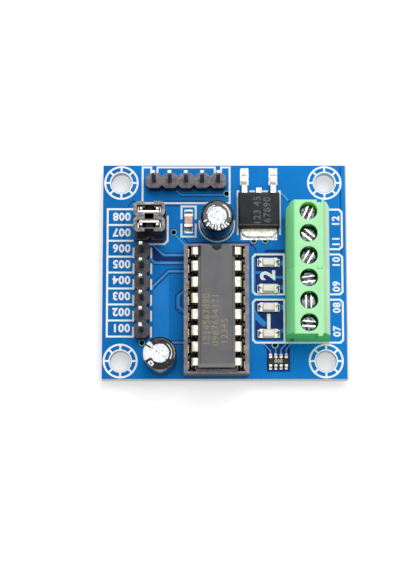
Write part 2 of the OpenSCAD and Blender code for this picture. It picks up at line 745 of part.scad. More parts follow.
module terminal_housing(first, cut_north) {
    y_low = block_y + block_len * (first ? 0 : -1);
    color("#8CDB90") lift() {
        difference() {
            union() {
                intersection() {
                    translate([0, y_low + block_len, 0]) rotate([90, 0, 0])
                        linear_extrude(block_len) housing_outline();
                    linear_extrude(block_h + over) polygon([
                        [block_back, y_low], [block_front, y_low],
                        [block_front, y_low + block_len - (cut_north ? end_cut : 0)],
                        [block_front - (cut_north ? end_cut : 0), y_low + block_len],
                        [block_back + (cut_north ? end_cut : 0), y_low + block_len],
                        [block_back, y_low + block_len - (cut_north ? end_cut : 0)]]);
                }
                // Dovetail rib on the south face
                translate([dovetail_x, y_low, dovetail_low]) mirror([0, 1, 0])
                    linear_extrude(block_h - dovetail_low) dovetail(0);
            }
            // Dovetail groove in the north face
            translate([dovetail_x, y_low + block_len, -over]) mirror([0, 1, 0])
                linear_extrude(block_h + 2 * over) dovetail(dovetail_gap);
            for (i = [0:ways - 1]) translate([axis_x, y_low + (i + 0.5) * way_pitch, 0]) {
                // Clamp pocket, open to the board
                translate([pocket_back, -pocket_w / 2, -over])
                    cube([pocket_front - pocket_back, pocket_w, pocket_top + over]);
                // Screw hole with the ledge that holds the head
                translate([0, 0, pocket_top - over])
                    cylinder(h = block_h, r = shank_d / 2 + screw_gap);
                translate([0, 0, head_z]) cylinder(h = block_h, d = driver_hole_d);
                // Wire entry, flared at the front face
                translate([pocket_front - over, -entry_w / 2, entry_z])
                    cube([block_depth, entry_w, entry_w]);
                translate([block_front - axis_x - 2 * entry_flare, -entry_w / 2 - entry_flare,
                           entry_z - entry_flare])
                    cube([block_depth, entry_w + 2 * entry_flare, entry_w + 2 * entry_flare]);
            }
        }
    }
}

module terminal_housing_1() terminal_housing(true, true);
module terminal_housing_2() terminal_housing(false, false);

module terminal_straps() {
    color("#C9CBCC") lift() for (y = ways_y) translate([axis_x, y, 0]) {
        rotate([90, 0, 0]) translate([0, 0, -strap_w / 2]) linear_extrude(strap_w)
            polygon([[leg_x - strap_t / 2, 0.3], [leg_x - strap_t / 2, strap_top],
                     [cage_d / 2 + 0.1, strap_top], [cage_d / 2 + 0.1, strap_z],
                     [leg_x + strap_t / 2, strap_z], [leg_x + strap_t / 2, 0.3]]);
        translate([leg_x, 0, 0]) plate(strap_t, leg_w, -board_t - tail_len, board_t + tail_len + 0.3);
    }
}

// Angles of the screw slots as the screws were left, from the first way to the last
slot_angles = [65, -40, 60, 8, 90, -3];
module clamp_screw(i) {
    color("#C4C8CC") lift() translate([axis_x, ways_y[i], 0]) difference() {
        union() {
            translate([0, 0, strap_top]) cylinder(h = head_z - strap_top, d = shank_d);
            translate([0, 0, head_z]) cylinder(h = head_h - 0.15, d = head_d);
            translate([0, 0, head_z + head_h - 0.15])
                cylinder(h = 0.15, d1 = head_d, d2 = head_d - 0.3);
        }
        rotate(slot_angles[i])
            plate(head_d + over, slot_w, head_z + head_h - slot_deep, slot_deep + over);
    }
}

module wire_clamp(i) {
    color("#B9BCBF") lift() translate([axis_x, ways_y[i], 0]) difference() {
        plate(cage_d, cage_w, cage_z, cage_top - cage_z);
        plate(cage_d + over, wire_w, wire_z, roof_z - wire_z);
        translate([0, 0, roof_z - over]) cylinder(h = cage_roof + 2 * over, r = shank_d / 2 + screw_gap);
    }
}

// One cell of a header strip: a square with its corners cut
module strip_cell(w, d) polygon(cut_box([-w / 2, -d / 2], [w / 2, d / 2], strip_cut));

module header_strip(places, w, d) {
    color("#3A393D") lift() linear_extrude(strip_h) difference() {
        at_each(places) strip_cell(w, d);
        at_each(places) square(pin_w, center = true);
    }
}

module header_pins(places) {
    color("#E4E0D2") lift() at_each(places)
        square_pin(pin_w, -board_t - tail_len, strip_h + pin_rise);
}

module input_header_strip() header_strip(input_at, strip_w, pitch);
module input_header_pins() header_pins(input_at);
module enable_header_strip() header_strip(enable_at, pitch, pitch);
module enable_header_pins() header_pins(enable_at);
module supply_header_strip() header_strip(supply_at, pitch, strip_w);
module supply_header_pins() header_pins(supply_at);

// Jumper cap, seen from the side on which its contact bar lies (+Y)
cap_shift = 0.06;
leaf_gap = 0.02;
channel_w = pin_w + 2 * clip_t + 0.34;
slot_len = pitch + channel_w - 0.4;
leaf_y = pin_w / 2 + leaf_gap;
channel_low = -leaf_y - clip_t - 0.05;
channel_high = leaf_y + 0.25 + 0.06;
bar_low = 1.1;
bar_drop = 0.25;
leaf_low = 0.6;
bar_len = pitch + 0.42;

module jumper_place(turn) {
    lift(strip_h) translate([enable_x, enable_y + (turn ? -1 : 1) * pitch / 2, 0])
        rotate(turn ? 0 : 180) children();
}

module jumper_shell(turn) {
    body_y = cap_shift;
    color("#232226") jumper_place(turn) difference() {
        linear_extrude(cap_h) difference() {
            translate([0, body_y])
                polygon(cut_box([-cap_len / 2, -cap_w / 2], [cap_len / 2, cap_w / 2], 0.45));
            for (s = [-1, 1]) translate([0, body_y + s * cap_w / 2])
                square([notch_len, 2 * notch_in], center = true);
        }
        // A channel round each pin, right through the cap
        for (s = [-1, 1]) translate([s * pitch / 2 - channel_w / 2, channel_low, -over])
            cube([channel_w, channel_high - channel_low, cap_h + 2 * over]);
        // The slot that shows the contact bar
        translate([-slot_len / 2, channel_low, cap_h - bar_low])
            cube([slot_len, channel_high - channel_low, bar_low + over]);
    }
}

module jumper_clip(turn) {
    bar_t = 0.25;
    color("#E0DCCB") jumper_place(turn) {
        translate([-bar_len / 2, leaf_y, cap_h - bar_low])
            cube([bar_len, bar_t, bar_low - bar_drop]);
        for (s = [-1, 1]) translate([s * pitch / 2, 0, leaf_low]) {
            x = pin_w / 2 + 0.05;
            linear_extrude(cap_h - bar_low - leaf_low) {
                span([-x - clip_t, leaf_y], [x + clip_t, leaf_y + bar_t]);
                span([s > 0 ? x : -x - clip_t, -leaf_y], [s > 0 ? x + clip_t : -x, leaf_y]);
                span([-x - clip_t, -leaf_y - clip_t], [x + clip_t, -leaf_y]);
            }
        }
    }
}

module jumper_shell_1() jumper_shell(false);
module jumper_shell_2() jumper_shell(true);
module jumper_clip_1() jumper_clip(false);
module jumper_clip_2() jumper_clip(true);

// Half section of a capacitor's outside, drawn in by t from the sleeve's surface
crimp_z = 1.1;
rim_r = 0.45;
seal_lift = 0.3;
seal_r = can_d / 2 - sleeve_t - crimp_in - 0.15;
steps = 5;
function can_side(t) = let (r = can_d / 2 - t) concat(
    [[r, 0], [r, crimp_z - 0.25], [r - crimp_in, crimp_z], [r - crimp_in, crimp_z + 0.3],
     [r, crimp_z + 0.55]],
    [for (i = [0:steps]) let (a = 90 * i / steps)
        [can_d / 2 - rim_r + (rim_r - t) * cos(a), can_h - rim_r + (rim_r - t) * sin(a)]]);

module capacitor_sleeve(p) {
    inner = can_side(sleeve_t);
    color("#17171A") lift() translate([p.x, p.y, 0]) rotate_extrude() polygon(concat(
        can_side(0), [[disc_d / 2, can_h], [disc_d / 2, can_h - sleeve_t]],
        [for (i = [len(inner) - 1:-1:0]) inner[i]]));
}

// The can is crimped onto its rubber seal, which closes it from below
module capacitor_can(p) {
    color("#D5D7D9") lift() translate([p.x, p.y, 0]) difference() {
        rotate_extrude() polygon(concat([[0, 0]], can_side(sleeve_t), [[0, can_h - sleeve_t]]));
        translate([0, 0, -over]) cylinder(h = seal_t + seal_lift + over, r = seal_r);
    }
}

module capacitor_seal(places, p) {
    color("#242326") lift(seal_lift) difference() {
        translate([p.x, p.y, 0]) cylinder(h = seal_t, r = seal_r);
        at_each(places) translate([0, 0, -over]) cylinder(h = seal_t + 2 * over, d = wire_d);
    }
}

module capacitor_leads(places) {
    color("#C9C9C6") at_each(places) translate([0, 0, -tail_len])
        cylinder(h = tail_len + board_t + seal_lift + seal_t, d = wire_d);
}

module capacitor_can_1() capacitor_can(can_1);
module capacitor_can_2() capacitor_can(can_2);
module capacitor_sleeve_1() capacitor_sleeve(can_1);
module capacitor_sleeve_2() capacitor_sleeve(can_2);
module capacitor_seal_1() capacitor_seal(can_1_at, can_1);
module capacitor_seal_2() capacitor_seal(can_2_at, can_2);
module capacitor_leads_1() capacitor_leads(can_1_at);
module capacitor_leads_2() capacitor_leads(can_2_at);

// Wrap-round metal ends stand this far proud of a chip's body
end_lap = 0.03;
end_len = 0.38;

module ceramic_capacitor_body() {
    color("#CFA48F") lift(land_t + end_lap) translate([chip_cap.x, chip_cap.y, 0])
        plate(chip_cap_w, chip_cap_len, 0, chip_cap_h);
}

module ceramic_capacitor_ends() {
    color("#E6E4E0") lift(land_t) translate([chip_cap.x, chip_cap.y, 0]) for (a = [0, 180]) rotate(a)
        difference() {
            translate([-chip_cap_w / 2 - end_lap, chip_cap_len / 2 - end_len, 0])
                cube([chip_cap_w + 2 * end_lap, end_len + end_lap, chip_cap_h + 2 * end_lap]);
            plate(chip_cap_w, chip_cap_len, end_lap, chip_cap_h);
        }
}

// Regulator: bent outer leads, a cut middle lead and a heat tab under the body
reg_lead_z = 0.95;
module regulator_metal() {
    translate([0, 0, land_t]) {
        linear_extrude(reg_metal_t) polygon([
            [reg.x - tab_w / 2 + 0.65, tab_end], [reg.x + tab_w / 2 - 0.65, tab_end],
            [reg.x + tab_w / 2, tab_end + 0.65], [reg.x + tab_w / 2, reg.y + 1.4],
            [reg.x - tab_w / 2, reg.y + 1.4], [reg.x - tab_w / 2, tab_end + 0.65]]);
        // The cut middle lead rises out of the tab inside the body
        translate([reg.x - reg_lead_w / 2, 0, 0]) rotate([90, 0, 90]) linear_extrude(reg_lead_w)
            polygon([
                [reg.y + 1.3, reg_metal_t / 2], [reg.y + 1.8, reg_metal_t / 2],
                [reg_body_y[1] - 0.7, reg_lead_z], [reg_body_y[1] + 0.8, reg_lead_z],
                [reg_body_y[1] + 0.8, reg_lead_z + reg_metal_t],
                [reg_body_y[1] - 0.9, reg_lead_z + reg_metal_t]]);
        for (s = [-1, 1]) translate([reg.x + s * reg_pitch / 2 - reg_lead_w / 2, 0, 0])
            rotate([90, 0, 90]) linear_extrude(reg_lead_w) polygon([
                [reg_body_y[1] - 1, reg_lead_z], [reg_foot[0] - 0.75, reg_lead_z],
                [reg_foot[0], 0], [reg_foot[1], 0], [reg_foot[1], reg_metal_t],
                [reg_foot[0] + 0.3, reg_metal_t],
                [reg_foot[0] - 0.5, reg_lead_z + reg_metal_t],
                [reg_body_y[1] - 1, reg_lead_z + reg_metal_t]]);
    }
}

module regulator_leadframe() color("#E2DFD4") lift() regulator_metal();

module regulator_body() {
    color("#2C2B33") lift() difference() {
        translate([reg.x, reg.y, 0]) draft_block(
            [[reg_w / 2 - 0.1, land_t], [reg_w / 2, reg_lead_z], [reg_w / 2 - 0.2, land_t + reg_h]],
            [[reg_d / 2 - 0.1, land_t], [reg_d / 2, reg_lead_z], [reg_d / 2 - 0.2, land_t + reg_h]]);
        regulator_metal();
    }
}

// Indicator lamps
lamp_end = 0.55;
notch_r = 0.3;
module lamp_base(i) {
    color("#EFEBDD") lift(land_t) translate([lamps[i].x, lamps[i].y, 0])
        plate(lamp_len - 2 * lamp_end, lamp_w, 0, lamp_base_t);
}

module lamp_lens(i) {
    z = land_t + lamp_base_t;
    color("#F2EDD9") lift(z) translate([lamps[i].x, lamps[i].y, 0]) draft_block(
        [[lens_len / 2, 0], [lens_len / 2 - 0.12, lens_h]],
        [[lamp_w / 2 - 0.08, 0], [lamp_w / 2 - 0.2, lens_h]]);
}

module lamp_terminals() {
    color("#D8D4C6") lift(land_t) at_each(lamps) for (a = [0, 180]) rotate(a) difference() {
        translate([lamp_len / 2 - lamp_end, -lamp_w / 2, 0]) cube([lamp_end, lamp_w, lamp_base_t]);
        translate([lamp_len / 2, 0, -over]) cylinder(h = lamp_base_t + 2 * over, r = notch_r);
    }
}

module lamp_base_1() lamp_base(0);
module lamp_base_2() lamp_base(1);
module lamp_base_3() lamp_base(2);
module lamp_base_4() lamp_base(3);
module lamp_lens_1() lamp_lens(0);
module lamp_lens_2() lamp_lens(1);
module lamp_lens_3() lamp_lens(2);
module lamp_lens_4() lamp_lens(3);

// Resistor array
array_term = 0.3;
module resistor_array_body() {
    color("#1E1D20") lift(land_t + end_lap) translate([array_at.x, array_at.y, 0])
        plate(array_len, array_w, 0, array_h);
}

module resistor_array_terminals() {
    color("#D5D3CE") lift(land_t) translate([array_at.x, array_at.y, 0])
        for (a = [0, 180], i = [-1.5:1:1.5]) rotate(a) difference() {
            translate([i * array_pitch - 0.22, array_w / 2 - array_term, 0])
                cube([0.44, array_term + end_lap, array_h + 2 * end_lap]);
            plate(array_len, array_w, end_lap, array_h);
        }
}

circuit_board();
tinned_pads();
legend_print();
through_hole_solder();
surface_solder();
socket_frame();
socket_contacts();
driver_chip_body();
driver_chip_leads();
terminal_housing_1();
terminal_housing_2();
terminal_straps();
clamp_screw(0);  // clamp_screw_1
clamp_screw(1);  // clamp_screw_2
clamp_screw(2);  // clamp_screw_3
clamp_screw(3);  // clamp_screw_4
clamp_screw(4);  // clamp_screw_5
clamp_screw(5);  // clamp_screw_6
wire_clamp(0);  // wire_clamp_1
wire_clamp(1);  // wire_clamp_2
wire_clamp(2);  // wire_clamp_3
wire_clamp(3);  // wire_clamp_4
wire_clamp(4);  // wire_clamp_5
wire_clamp(5);  // wire_clamp_6
input_header_strip();
input_header_pins();
enable_header_strip();
enable_header_pins();
supply_header_strip();
supply_header_pins();
jumper_shell_1();
jumper_shell_2();
jumper_clip_1();
jumper_clip_2();
capacitor_can_1();
capacitor_can_2();
capacitor_sleeve_1();
capacitor_sleeve_2();
capacitor_seal_1();
capacitor_seal_2();
capacitor_leads_1();
capacitor_leads_2();
ceramic_capacitor_body();
ceramic_capacitor_ends();
regulator_body();
regulator_leadframe();
lamp_base_1();
lamp_base_2();
lamp_base_3();
lamp_base_4();
lamp_lens_1();
lamp_lens_2();
lamp_lens_3();
lamp_lens_4();
lamp_terminals();
resistor_array_body();
resistor_array_terminals();
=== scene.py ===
"""Finishes and fine pieces of a motor driver module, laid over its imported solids.

The board's copper relief, its printed numbers and its rounded mouldings are modelled here. Their
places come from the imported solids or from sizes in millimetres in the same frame: the origin is
the centre of the four mounting holes on the board's underside, X runs east, Y north and Z up.
"""

import json
import logging
import math
from collections.abc import Iterator, Sequence
from contextlib import contextmanager
from dataclasses import dataclass, replace
from enum import Enum

import bpy
from bpy.types import Material, Node, NodeSocket, NodeTree, Object
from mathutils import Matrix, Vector

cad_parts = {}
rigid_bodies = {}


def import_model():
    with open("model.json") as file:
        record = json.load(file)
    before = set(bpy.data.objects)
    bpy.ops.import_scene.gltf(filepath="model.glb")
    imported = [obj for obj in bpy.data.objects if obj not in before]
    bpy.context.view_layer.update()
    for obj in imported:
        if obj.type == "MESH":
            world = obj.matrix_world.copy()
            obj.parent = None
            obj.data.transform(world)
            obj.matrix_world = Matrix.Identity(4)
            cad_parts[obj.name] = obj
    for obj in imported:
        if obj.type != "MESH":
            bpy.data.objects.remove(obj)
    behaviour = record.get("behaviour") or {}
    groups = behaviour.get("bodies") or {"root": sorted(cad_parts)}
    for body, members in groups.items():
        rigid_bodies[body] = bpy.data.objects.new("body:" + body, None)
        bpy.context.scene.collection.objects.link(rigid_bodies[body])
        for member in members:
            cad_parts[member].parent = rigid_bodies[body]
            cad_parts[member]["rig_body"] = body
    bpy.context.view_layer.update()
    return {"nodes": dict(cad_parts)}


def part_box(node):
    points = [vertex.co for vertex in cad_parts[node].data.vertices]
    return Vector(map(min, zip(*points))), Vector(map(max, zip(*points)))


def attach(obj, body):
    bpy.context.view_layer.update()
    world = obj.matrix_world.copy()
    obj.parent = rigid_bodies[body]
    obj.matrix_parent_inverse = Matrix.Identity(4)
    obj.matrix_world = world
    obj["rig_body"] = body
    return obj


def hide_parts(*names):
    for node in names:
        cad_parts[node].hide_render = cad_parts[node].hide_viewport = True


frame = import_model()

log = logging.getLogger("motor_driver")

MM = 0.001
# Height of the board's upper face, in millimetres
BOARD_TOP = 1.6
# Past every edge of the module, in millimetres, for a zone that is open on a side
FAR = 30.0
# Packed points closer together than this are one point, in metres
SAME_POINT = 0.0002 * MM
# How far the layer of a laser mark is sunk in its epoxy, in millimetres
MARK_SINK = 0.014
# One millimetre outwards in every direction, for a zone that covers a border
BEYOND = Vector((1, 1, 1))
Point = tuple[float, float]
Corner = tuple[float, float, float]
Path = Sequence[Point]


class Reading(Enum):
    """Which way a printed number is turned, in degrees from upright."""

    UPRIGHT = 0.0
    UPWARDS = 90.0
    UPSIDE_DOWN = 180.0


class Edge(Enum):
    """How wide a moulded or pressed edge is rounded, in millimetres, and in how many steps."""

    FINE = (0.03, 2)
    MOULDED = (0.06, 2)
    WORN = (0.1, 2)


def linear(colour: str) -> tuple[float, float, float, float]:
    """Turns an sRGB hex colour into linear red, green, blue and alpha.

    Args:
        colour: The colour as #RRGGBB.

    Returns:
        The four linear values, with alpha 1.
    """
    values = [int(colour[i : i + 2], 16) / 255 for i in (1, 3, 5)]
    red, green, blue = (v / 12.92 if v <= 0.04045 else ((v + 0.055) / 1.055) ** 2.4 for v in values)
    return red, green, blue, 1.0


def per_metre(millimetres: float) -> float:
    """Gives the texture scale at which one feature is this many millimetres long."""
    return 1 / (millimetres * MM)


def add_node(tree: NodeTree, kind: str, inputs: dict | None = None, **settings: object) -> Node:
    """Adds a node with its settings, and sets or links its inputs.

    Args:
        tree: The tree that the node goes into.
        kind: The node's type name, without the ShaderNode in front of it.
        inputs: Values by input name or index. A socket among them is linked.
        settings: The node's own properties.

    Returns:
        The new node.
    """
    node = tree.nodes.new(f"ShaderNode{kind}")
    for key, value in settings.items():
        setattr(node, key, value)
    for key, value in (inputs or {}).items():
        if isinstance(value, NodeSocket):
            tree.links.new(value, node.inputs[key])
        else:
            node.inputs[key].default_value = value
    return node


def pick(*objects: Object) -> None:
    """Makes these the only selected objects, with the first one active."""
    bpy.ops.object.select_all(action="DESELECT")
    for obj in objects:
        obj.select_set(True)
    bpy.context.view_layer.objects.active = objects[0]


@contextmanager
def editing(obj: Object) -> Iterator[None]:
    """Keeps an object in edit mode for a with block, which starts with its whole mesh selected."""
    pick(obj)
    bpy.ops.object.mode_set(mode="EDIT")
    bpy.ops.mesh.select_all(action="SELECT")
    yield
    bpy.ops.object.mode_set(mode="OBJECT")


def settle(obj: Object, name: str) -> Object:
    """Names an object and puts its place, turn and size into its mesh."""
    pick(obj)
    bpy.ops.object.transform_apply(location=True, rotation=True, scale=True)
    obj.name = obj.data.name = name
    return obj


def face_outwards(obj: Object) -> None:
    """Merges an object's doubled points and turns its faces outwards."""
    with editing(obj):
        bpy.ops.mesh.remove_doubles(threshold=SAME_POINT)
        bpy.ops.mesh.normals_make_consistent(inside=False)


def smooth(obj: Object, degrees: float = 35) -> None:
    """Shades an object smooth, apart from edges sharper than an angle."""
    pick(obj)
    bpy.ops.object.shade_smooth_by_angle(angle=math.radians(degrees))


def draw_paths(name: str, paths: Sequence[Path], z: float) -> Object:
    """Draws open chains of edges, each by extruding one point along its path.

    Args:
        name: The new object's name.
        paths: Each chain's corners in millimetres.
        z: Height of all the corners, in millimetres.

    Returns:
        The object, with one chain for each path.
    """
    bpy.ops.object.select_all(action="DESELECT")
    bpy.ops.mesh.primitive_plane_add(size=MM)
    obj = settle(bpy.context.object, name)
    with editing(obj):
        bpy.ops.mesh.delete(type="VERT")
        for path in paths:
            bpy.ops.mesh.select_all(action="DESELECT")
            start = Vector((*path[0], z)) * MM
            bpy.ops.mesh.primitive_plane_add(size=MM, location=start)
            bpy.ops.mesh.merge(type="CENTER")
            for (x0, y0), (x1, y1) in zip(path, path[1:]):
                step = Vector((x1 - x0, y1 - y0, 0)) * MM
                bpy.ops.mesh.extrude_region_move(TRANSFORM_OT_translate={"value": step})
    return obj


def ribbons(name: str, paths: Sequence[Path], width: float, z: float, rise: float) -> Object:
    """Makes low ribbed strips along paths, as etched tracks look through solder resist.

    Args:
        name: The piece's name.
        paths: Each strip's corners in millimetres.
        width: Width of the strips in millimetres.
        z: Height of the strips' middle.
        rise: How far a strip's ridge stands above its middle.

    Returns:
        One object with all the strips.
    """
    obj = draw_paths(name, paths, z)
    pick(obj)
    bpy.ops.object.convert(target="CURVE")
    curve = bpy.context.object
    curve.data.bevel_depth = width / 2 * MM
    curve.data.bevel_resolution = 0
    curve.data.use_fill_caps = True
    bpy.ops.object.convert(target="MESH")
    obj = bpy.context.object
    with editing(obj):
        bpy.ops.transform.resize(value=(1, 1, rise / (width / 2)), center_override=(0, 0, z * MM))
    face_outwards(obj)
    return settle(obj, name)


def sheets(name: str, outlines: Sequence[Path], z: float, thickness: float) -> Object:
    """Makes thin flat sheets from closed outlines.

    Args:
        name: The piece's name.
        outlines: Each sheet's corners in millimetres, without the first one repeated.
        z: Height of the sheets' lower face.
        thickness: Thickness of the sheets in millimetres.

    Returns:
        One object with all the sheets.
    """
    closed = [[*outline, outline[0]] for outline in outlines]
    obj = draw_paths(name, closed, z)
    with editing(obj):
        bpy.ops.mesh.remove_doubles(threshold=0.001 * MM)
        bpy.ops.mesh.edge_face_add()
        bpy.ops.mesh.extrude_region_move(TRANSFORM_OT_translate={"value": (0, 0, thickness * MM)})
    face_outwards(obj)
    return obj


def copies(obj: Object, name: str, places: Sequence[Vector]) -> Object:
    """Repeats a piece at several places and joins the copies, each with its own mesh.

    Args:
        obj: The piece, modelled round the origin.
        name: The joined piece's name.
        places: Where each copy goes, in metres.

    Returns:
        The joined piece.
    """
    made = []
    for place in places:
        twin = bpy.data.objects.new(name, obj.data.copy())
        bpy.context.scene.collection.objects.link(twin)
        twin.location = place
        made.append(twin)
    bpy.data.objects.remove(obj)
    pick(*made)
    bpy.ops.object.join()
    return settle(bpy.context.object, name)


def centre_of(node: str) -> Vector:
    """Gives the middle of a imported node's box, in metres."""
    low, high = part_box(node)
    return (low + high) / 2


def rounded(node: str, edge: Edge) -> Object:
    """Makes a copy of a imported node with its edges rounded, as moulding or pressing leaves them.

    Args:
        node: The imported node, which the copy stands for.
        edge: How wide its edges are rounded.

    Returns:
        The rounded piece, which rides on the node's own body.
    """
    source = frame["nodes"][node]
    obj = bpy.data.objects.new(f"{node}_rounded", source.data.copy())
    bpy.context.scene.collection.objects.link(obj)
    with editing(obj):
        bpy.ops.mesh.remove_doubles(threshold=SAME_POINT)
        bpy.ops.mesh.dissolve_limited(angle_limit=math.radians(0.5))
    width, steps = edge.value
    bevel = obj.modifiers.new("edges", "BEVEL")
    bevel.width = width * MM
    bevel.segments = steps
    bevel.limit_method = "ANGLE"
    bevel.angle_limit = math.radians(32)
    pick(obj)
    bpy.ops.object.modifier_apply(modifier=bevel.name)
    smooth(obj)
    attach(obj, source["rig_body"])
    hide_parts(node)
    return obj


def corners_of(node: str) -> tuple[Vector, Vector]:
    """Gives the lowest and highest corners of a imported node's box, in millimetres."""
    low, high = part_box(node)
    return Vector(low) / MM, Vector(high) / MM


@dataclass(frozen=True)
class Zone:
    """A box, in millimetres, in which a surface has another colour, faded in from its border."""

    colour: str
    low: Corner
    high: Corner
    fade: float = 0.06
    strength: float = 1.0

    def over(self, tree: NodeTree, coords: NodeSocket, below: object) -> NodeSocket:
        """Lays the zone's colour over another one.

        Args:
            tree: The material's node tree.
            coords: The Object coordinates.
            below: The colour outside the zone, a socket or a value.

        Returns:
            The mixed colour.
        """
        middle = (Vector(self.low) + Vector(self.high)) / 2 * MM
        half = (Vector(self.high) - Vector(self.low)) / 2 * MM
        away = add_node(tree, "VectorMath", {0: coords, 1: middle}, operation="SUBTRACT")
        size = add_node(tree, "VectorMath", {0: away.outputs[0]}, operation="ABSOLUTE")
        past = add_node(tree, "VectorMath", {0: size.outputs[0], 1: half}, operation="SUBTRACT")
        parts = add_node(tree, "SeparateXYZ", {0: past.outputs[0]})
        flat = add_node(tree, "Math", {0: parts.outputs["X"], 1: parts.outputs["Y"]}, operation="MAXIMUM")
        most = add_node(tree, "Math", {0: flat.outputs[0], 1: parts.outputs["Z"]}, operation="MAXIMUM")
        inside = add_node(
            tree, "MapRange",
            {"Value": most.outputs[0], "From Min": 0.0, "From Max": -self.fade * MM, "To Max": self.strength},
        )
        mix = add_node(
            tree, "MixRGB", {"Fac": inside.outputs[0], "Color1": below, "Color2": linear(self.colour)}
        )
        return mix.outputs[0]


@dataclass(frozen=True)
class Finish:
    """A finish: one real material, how its surface was made, and what that gives the eye."""

    name: str
    colour: str
    roughness: float
    metallic: float = 0.0
    ior: float = 1.5
    specular: float = 0.5
    zones: tuple[Zone, ...] = ()

    def material(self) -> Material:
        """Builds the finish's material once, and gives the same one after that."""
        if self.name in bpy.data.materials:
            return bpy.data.materials[self.name]
        made = bpy.data.materials.new(self.name)
        made.use_nodes = True
        tree = made.node_tree
        tree.nodes.clear()
        shader = add_node(tree, "BsdfPrincipled")
        shader.inputs["Base Color"].default_value = linear(self.colour)
        shader.inputs["Roughness"].default_value = self.roughness
        shader.inputs["Metallic"].default_value = self.metallic
        if not self.metallic:
            shader.inputs["IOR"].default_value = self.ior
            shader.inputs["Specular IOR Level"].default_value = self.specular
        coords = add_node(tree, "TexCoord").outputs["Object"]
        self.pattern(tree, coords, shader)
        paint = shader.inputs["Base Color"]
        for zone in self.zones:
            below = paint.links[0].from_socket if paint.links else tuple(paint.default_value)
            tree.links.new(zone.over(tree, coords, below), paint)
        add_node(tree, "OutputMaterial", {"Surface": shader.outputs[0]})
        return made

    def pattern(self, tree: NodeTree, coords: NodeSocket, shader: Node) -> None:
        """Adds what varies over the surface. A plain finish has nothing."""

    def dress(self, obj: Object) -> None:
        """Gives an object this finish alone."""
        if not obj.material_slots:
            obj.data.materials.append(None)
        for slot in obj.material_slots:
            slot.link = "OBJECT"
            slot.material = self.material()


@dataclass(frozen=True)
class Moulded(Finish):
    """Injection-moulded plastic: a fine grain from the mould, with faint flow marks and dust."""

    second: str = "#808080"
    mottle_mm: float = 1.2
    grain_mm: float = 0.12
    grain: float = 0.12
    spread: tuple[float, float] = (0.35, 0.7)

    def pattern(self, tree: NodeTree, coords: NodeSocket, shader: Node) -> None:
        """Mottles the colour and adds the mould's grain as bump and uneven gloss."""
        mottle = add_node(
            tree, "TexNoise", {"Vector": coords, "Scale": per_metre(self.mottle_mm), "Detail": 4.0}
        )
        weight = add_node(
            tree, "MapRange",
            {"Value": mottle.outputs["Fac"], "From Min": self.spread[0], "From Max": self.spread[1]},
        )
        mix = add_node(
            tree, "MixRGB",
            {"Fac": weight.outputs[0], "Color1": linear(self.colour), "Color2": linear(self.second)},
        )
        grain = add_node(
            tree, "TexNoise", {"Vector": coords, "Scale": per_metre(self.grain_mm), "Detail": 2.0}
        )
        rough = add_node(
            tree, "MapRange",
            {"Value": grain.outputs["Fac"], "To Min": self.roughness - 0.08, "To Max": self.roughness + 0.1},
        )
        bump = add_node(
            tree, "Bump",
            {"Height": grain.outputs["Fac"], "Strength": self.grain, "Distance": self.grain_mm * MM},
        )
        tree.links.new(mix.outputs[0], shader.inputs["Base Color"])
        tree.links.new(rough.outputs[0], shader.inputs["Roughness"])
        tree.links.new(bump.outputs[0], shader.inputs["Normal"])


@dataclass(frozen=True)
class SolderResist(Moulded):
    """Blue liquid solder resist over copper: glossy, with orange peel, and darker in the zones it is given.

    The board's cut faces show the pale glass laminate under the resist.
    """

    laminate: str = "#EFEDE4"
    laminate_dark: str = "#C6C4B6"
    weave_mm: float = 0.25
    darker_zones: tuple[Zone, ...] = ()

    def pattern(self, tree: NodeTree, coords: NodeSocket, shader: Node) -> None:
        """Darkens the resist in its darker zones, then lays the laminate on every cut face."""
        super().pattern(tree, coords, shader)
        resist = shader.inputs["Base Color"].links[0].from_socket
        for darker_zone in self.darker_zones:
            resist = darker_zone.over(tree, coords, resist)
        height = add_node(tree, "SeparateXYZ", {0: coords}).outputs["Z"]
        half = BOARD_TOP / 2 * MM
        cut = add_node(tree, "Math", {0: height, 1: half, 2: half - 0.004 * MM}, operation="COMPARE")
        weave = add_node(
            tree, "TexNoise", {"Vector": coords, "Scale": per_metre(self.weave_mm), "Detail": 3.0}
        )
        shade = add_node(
            tree, "MixRGB",
            {"Fac": weave.outputs["Fac"], "Color1": linear(self.laminate),
             "Color2": linear(self.laminate_dark)},
        )
        mix = add_node(tree, "MixRGB", {"Fac": cut.outputs[0], "Color1": resist, "Color2": shade.outputs[0]})
        tree.links.new(mix.outputs[0], shader.inputs["Base Color"])


@dataclass(frozen=True)
class Plated(Finish):
    """Tin or zinc plating over a pressed part: bright, with cloudy gloss and shallow dents."""

    second: str = "#9A9A98"
    cloud_mm: float = 0.6
    dent_mm: float = 0.15
    dent: float = 0.15

    def pattern(self, tree: NodeTree, coords: NodeSocket, shader: Node) -> None:
        """Clouds the plating's colour and gloss and adds its dents."""
        cloud = add_node(
            tree, "TexNoise", {"Vector": coords, "Scale": per_metre(self.cloud_mm), "Detail": 3.0}
        )
        weight = add_node(
            tree, "MapRange", {"Value": cloud.outputs["Fac"], "From Min": 0.4, "From Max": 0.75}
        )
        mix = add_node(
            tree, "MixRGB",
            {"Fac": weight.outputs[0], "Color1": linear(self.colour), "Color2": linear(self.second)},
        )
        rough = add_node(
            tree, "MapRange",
            {"Value": cloud.outputs["Fac"], "To Min": self.roughness - 0.1, "To Max": self.roughness + 0.15},
        )
        dents = add_node(
            tree, "TexNoise", {"Vector": coords, "Scale": per_metre(self.dent_mm), "Detail": 1.0}
        )
        bump = add_node(
            tree, "Bump",
            {"Height": dents.outputs["Fac"], "Strength": self.dent, "Distance": self.dent_mm * MM},
        )
        tree.links.new(mix.outputs[0], shader.inputs["Base Color"])
        tree.links.new(rough.outputs[0], shader.inputs["Roughness"])
        tree.links.new(bump.outputs[0], shader.inputs["Normal"])


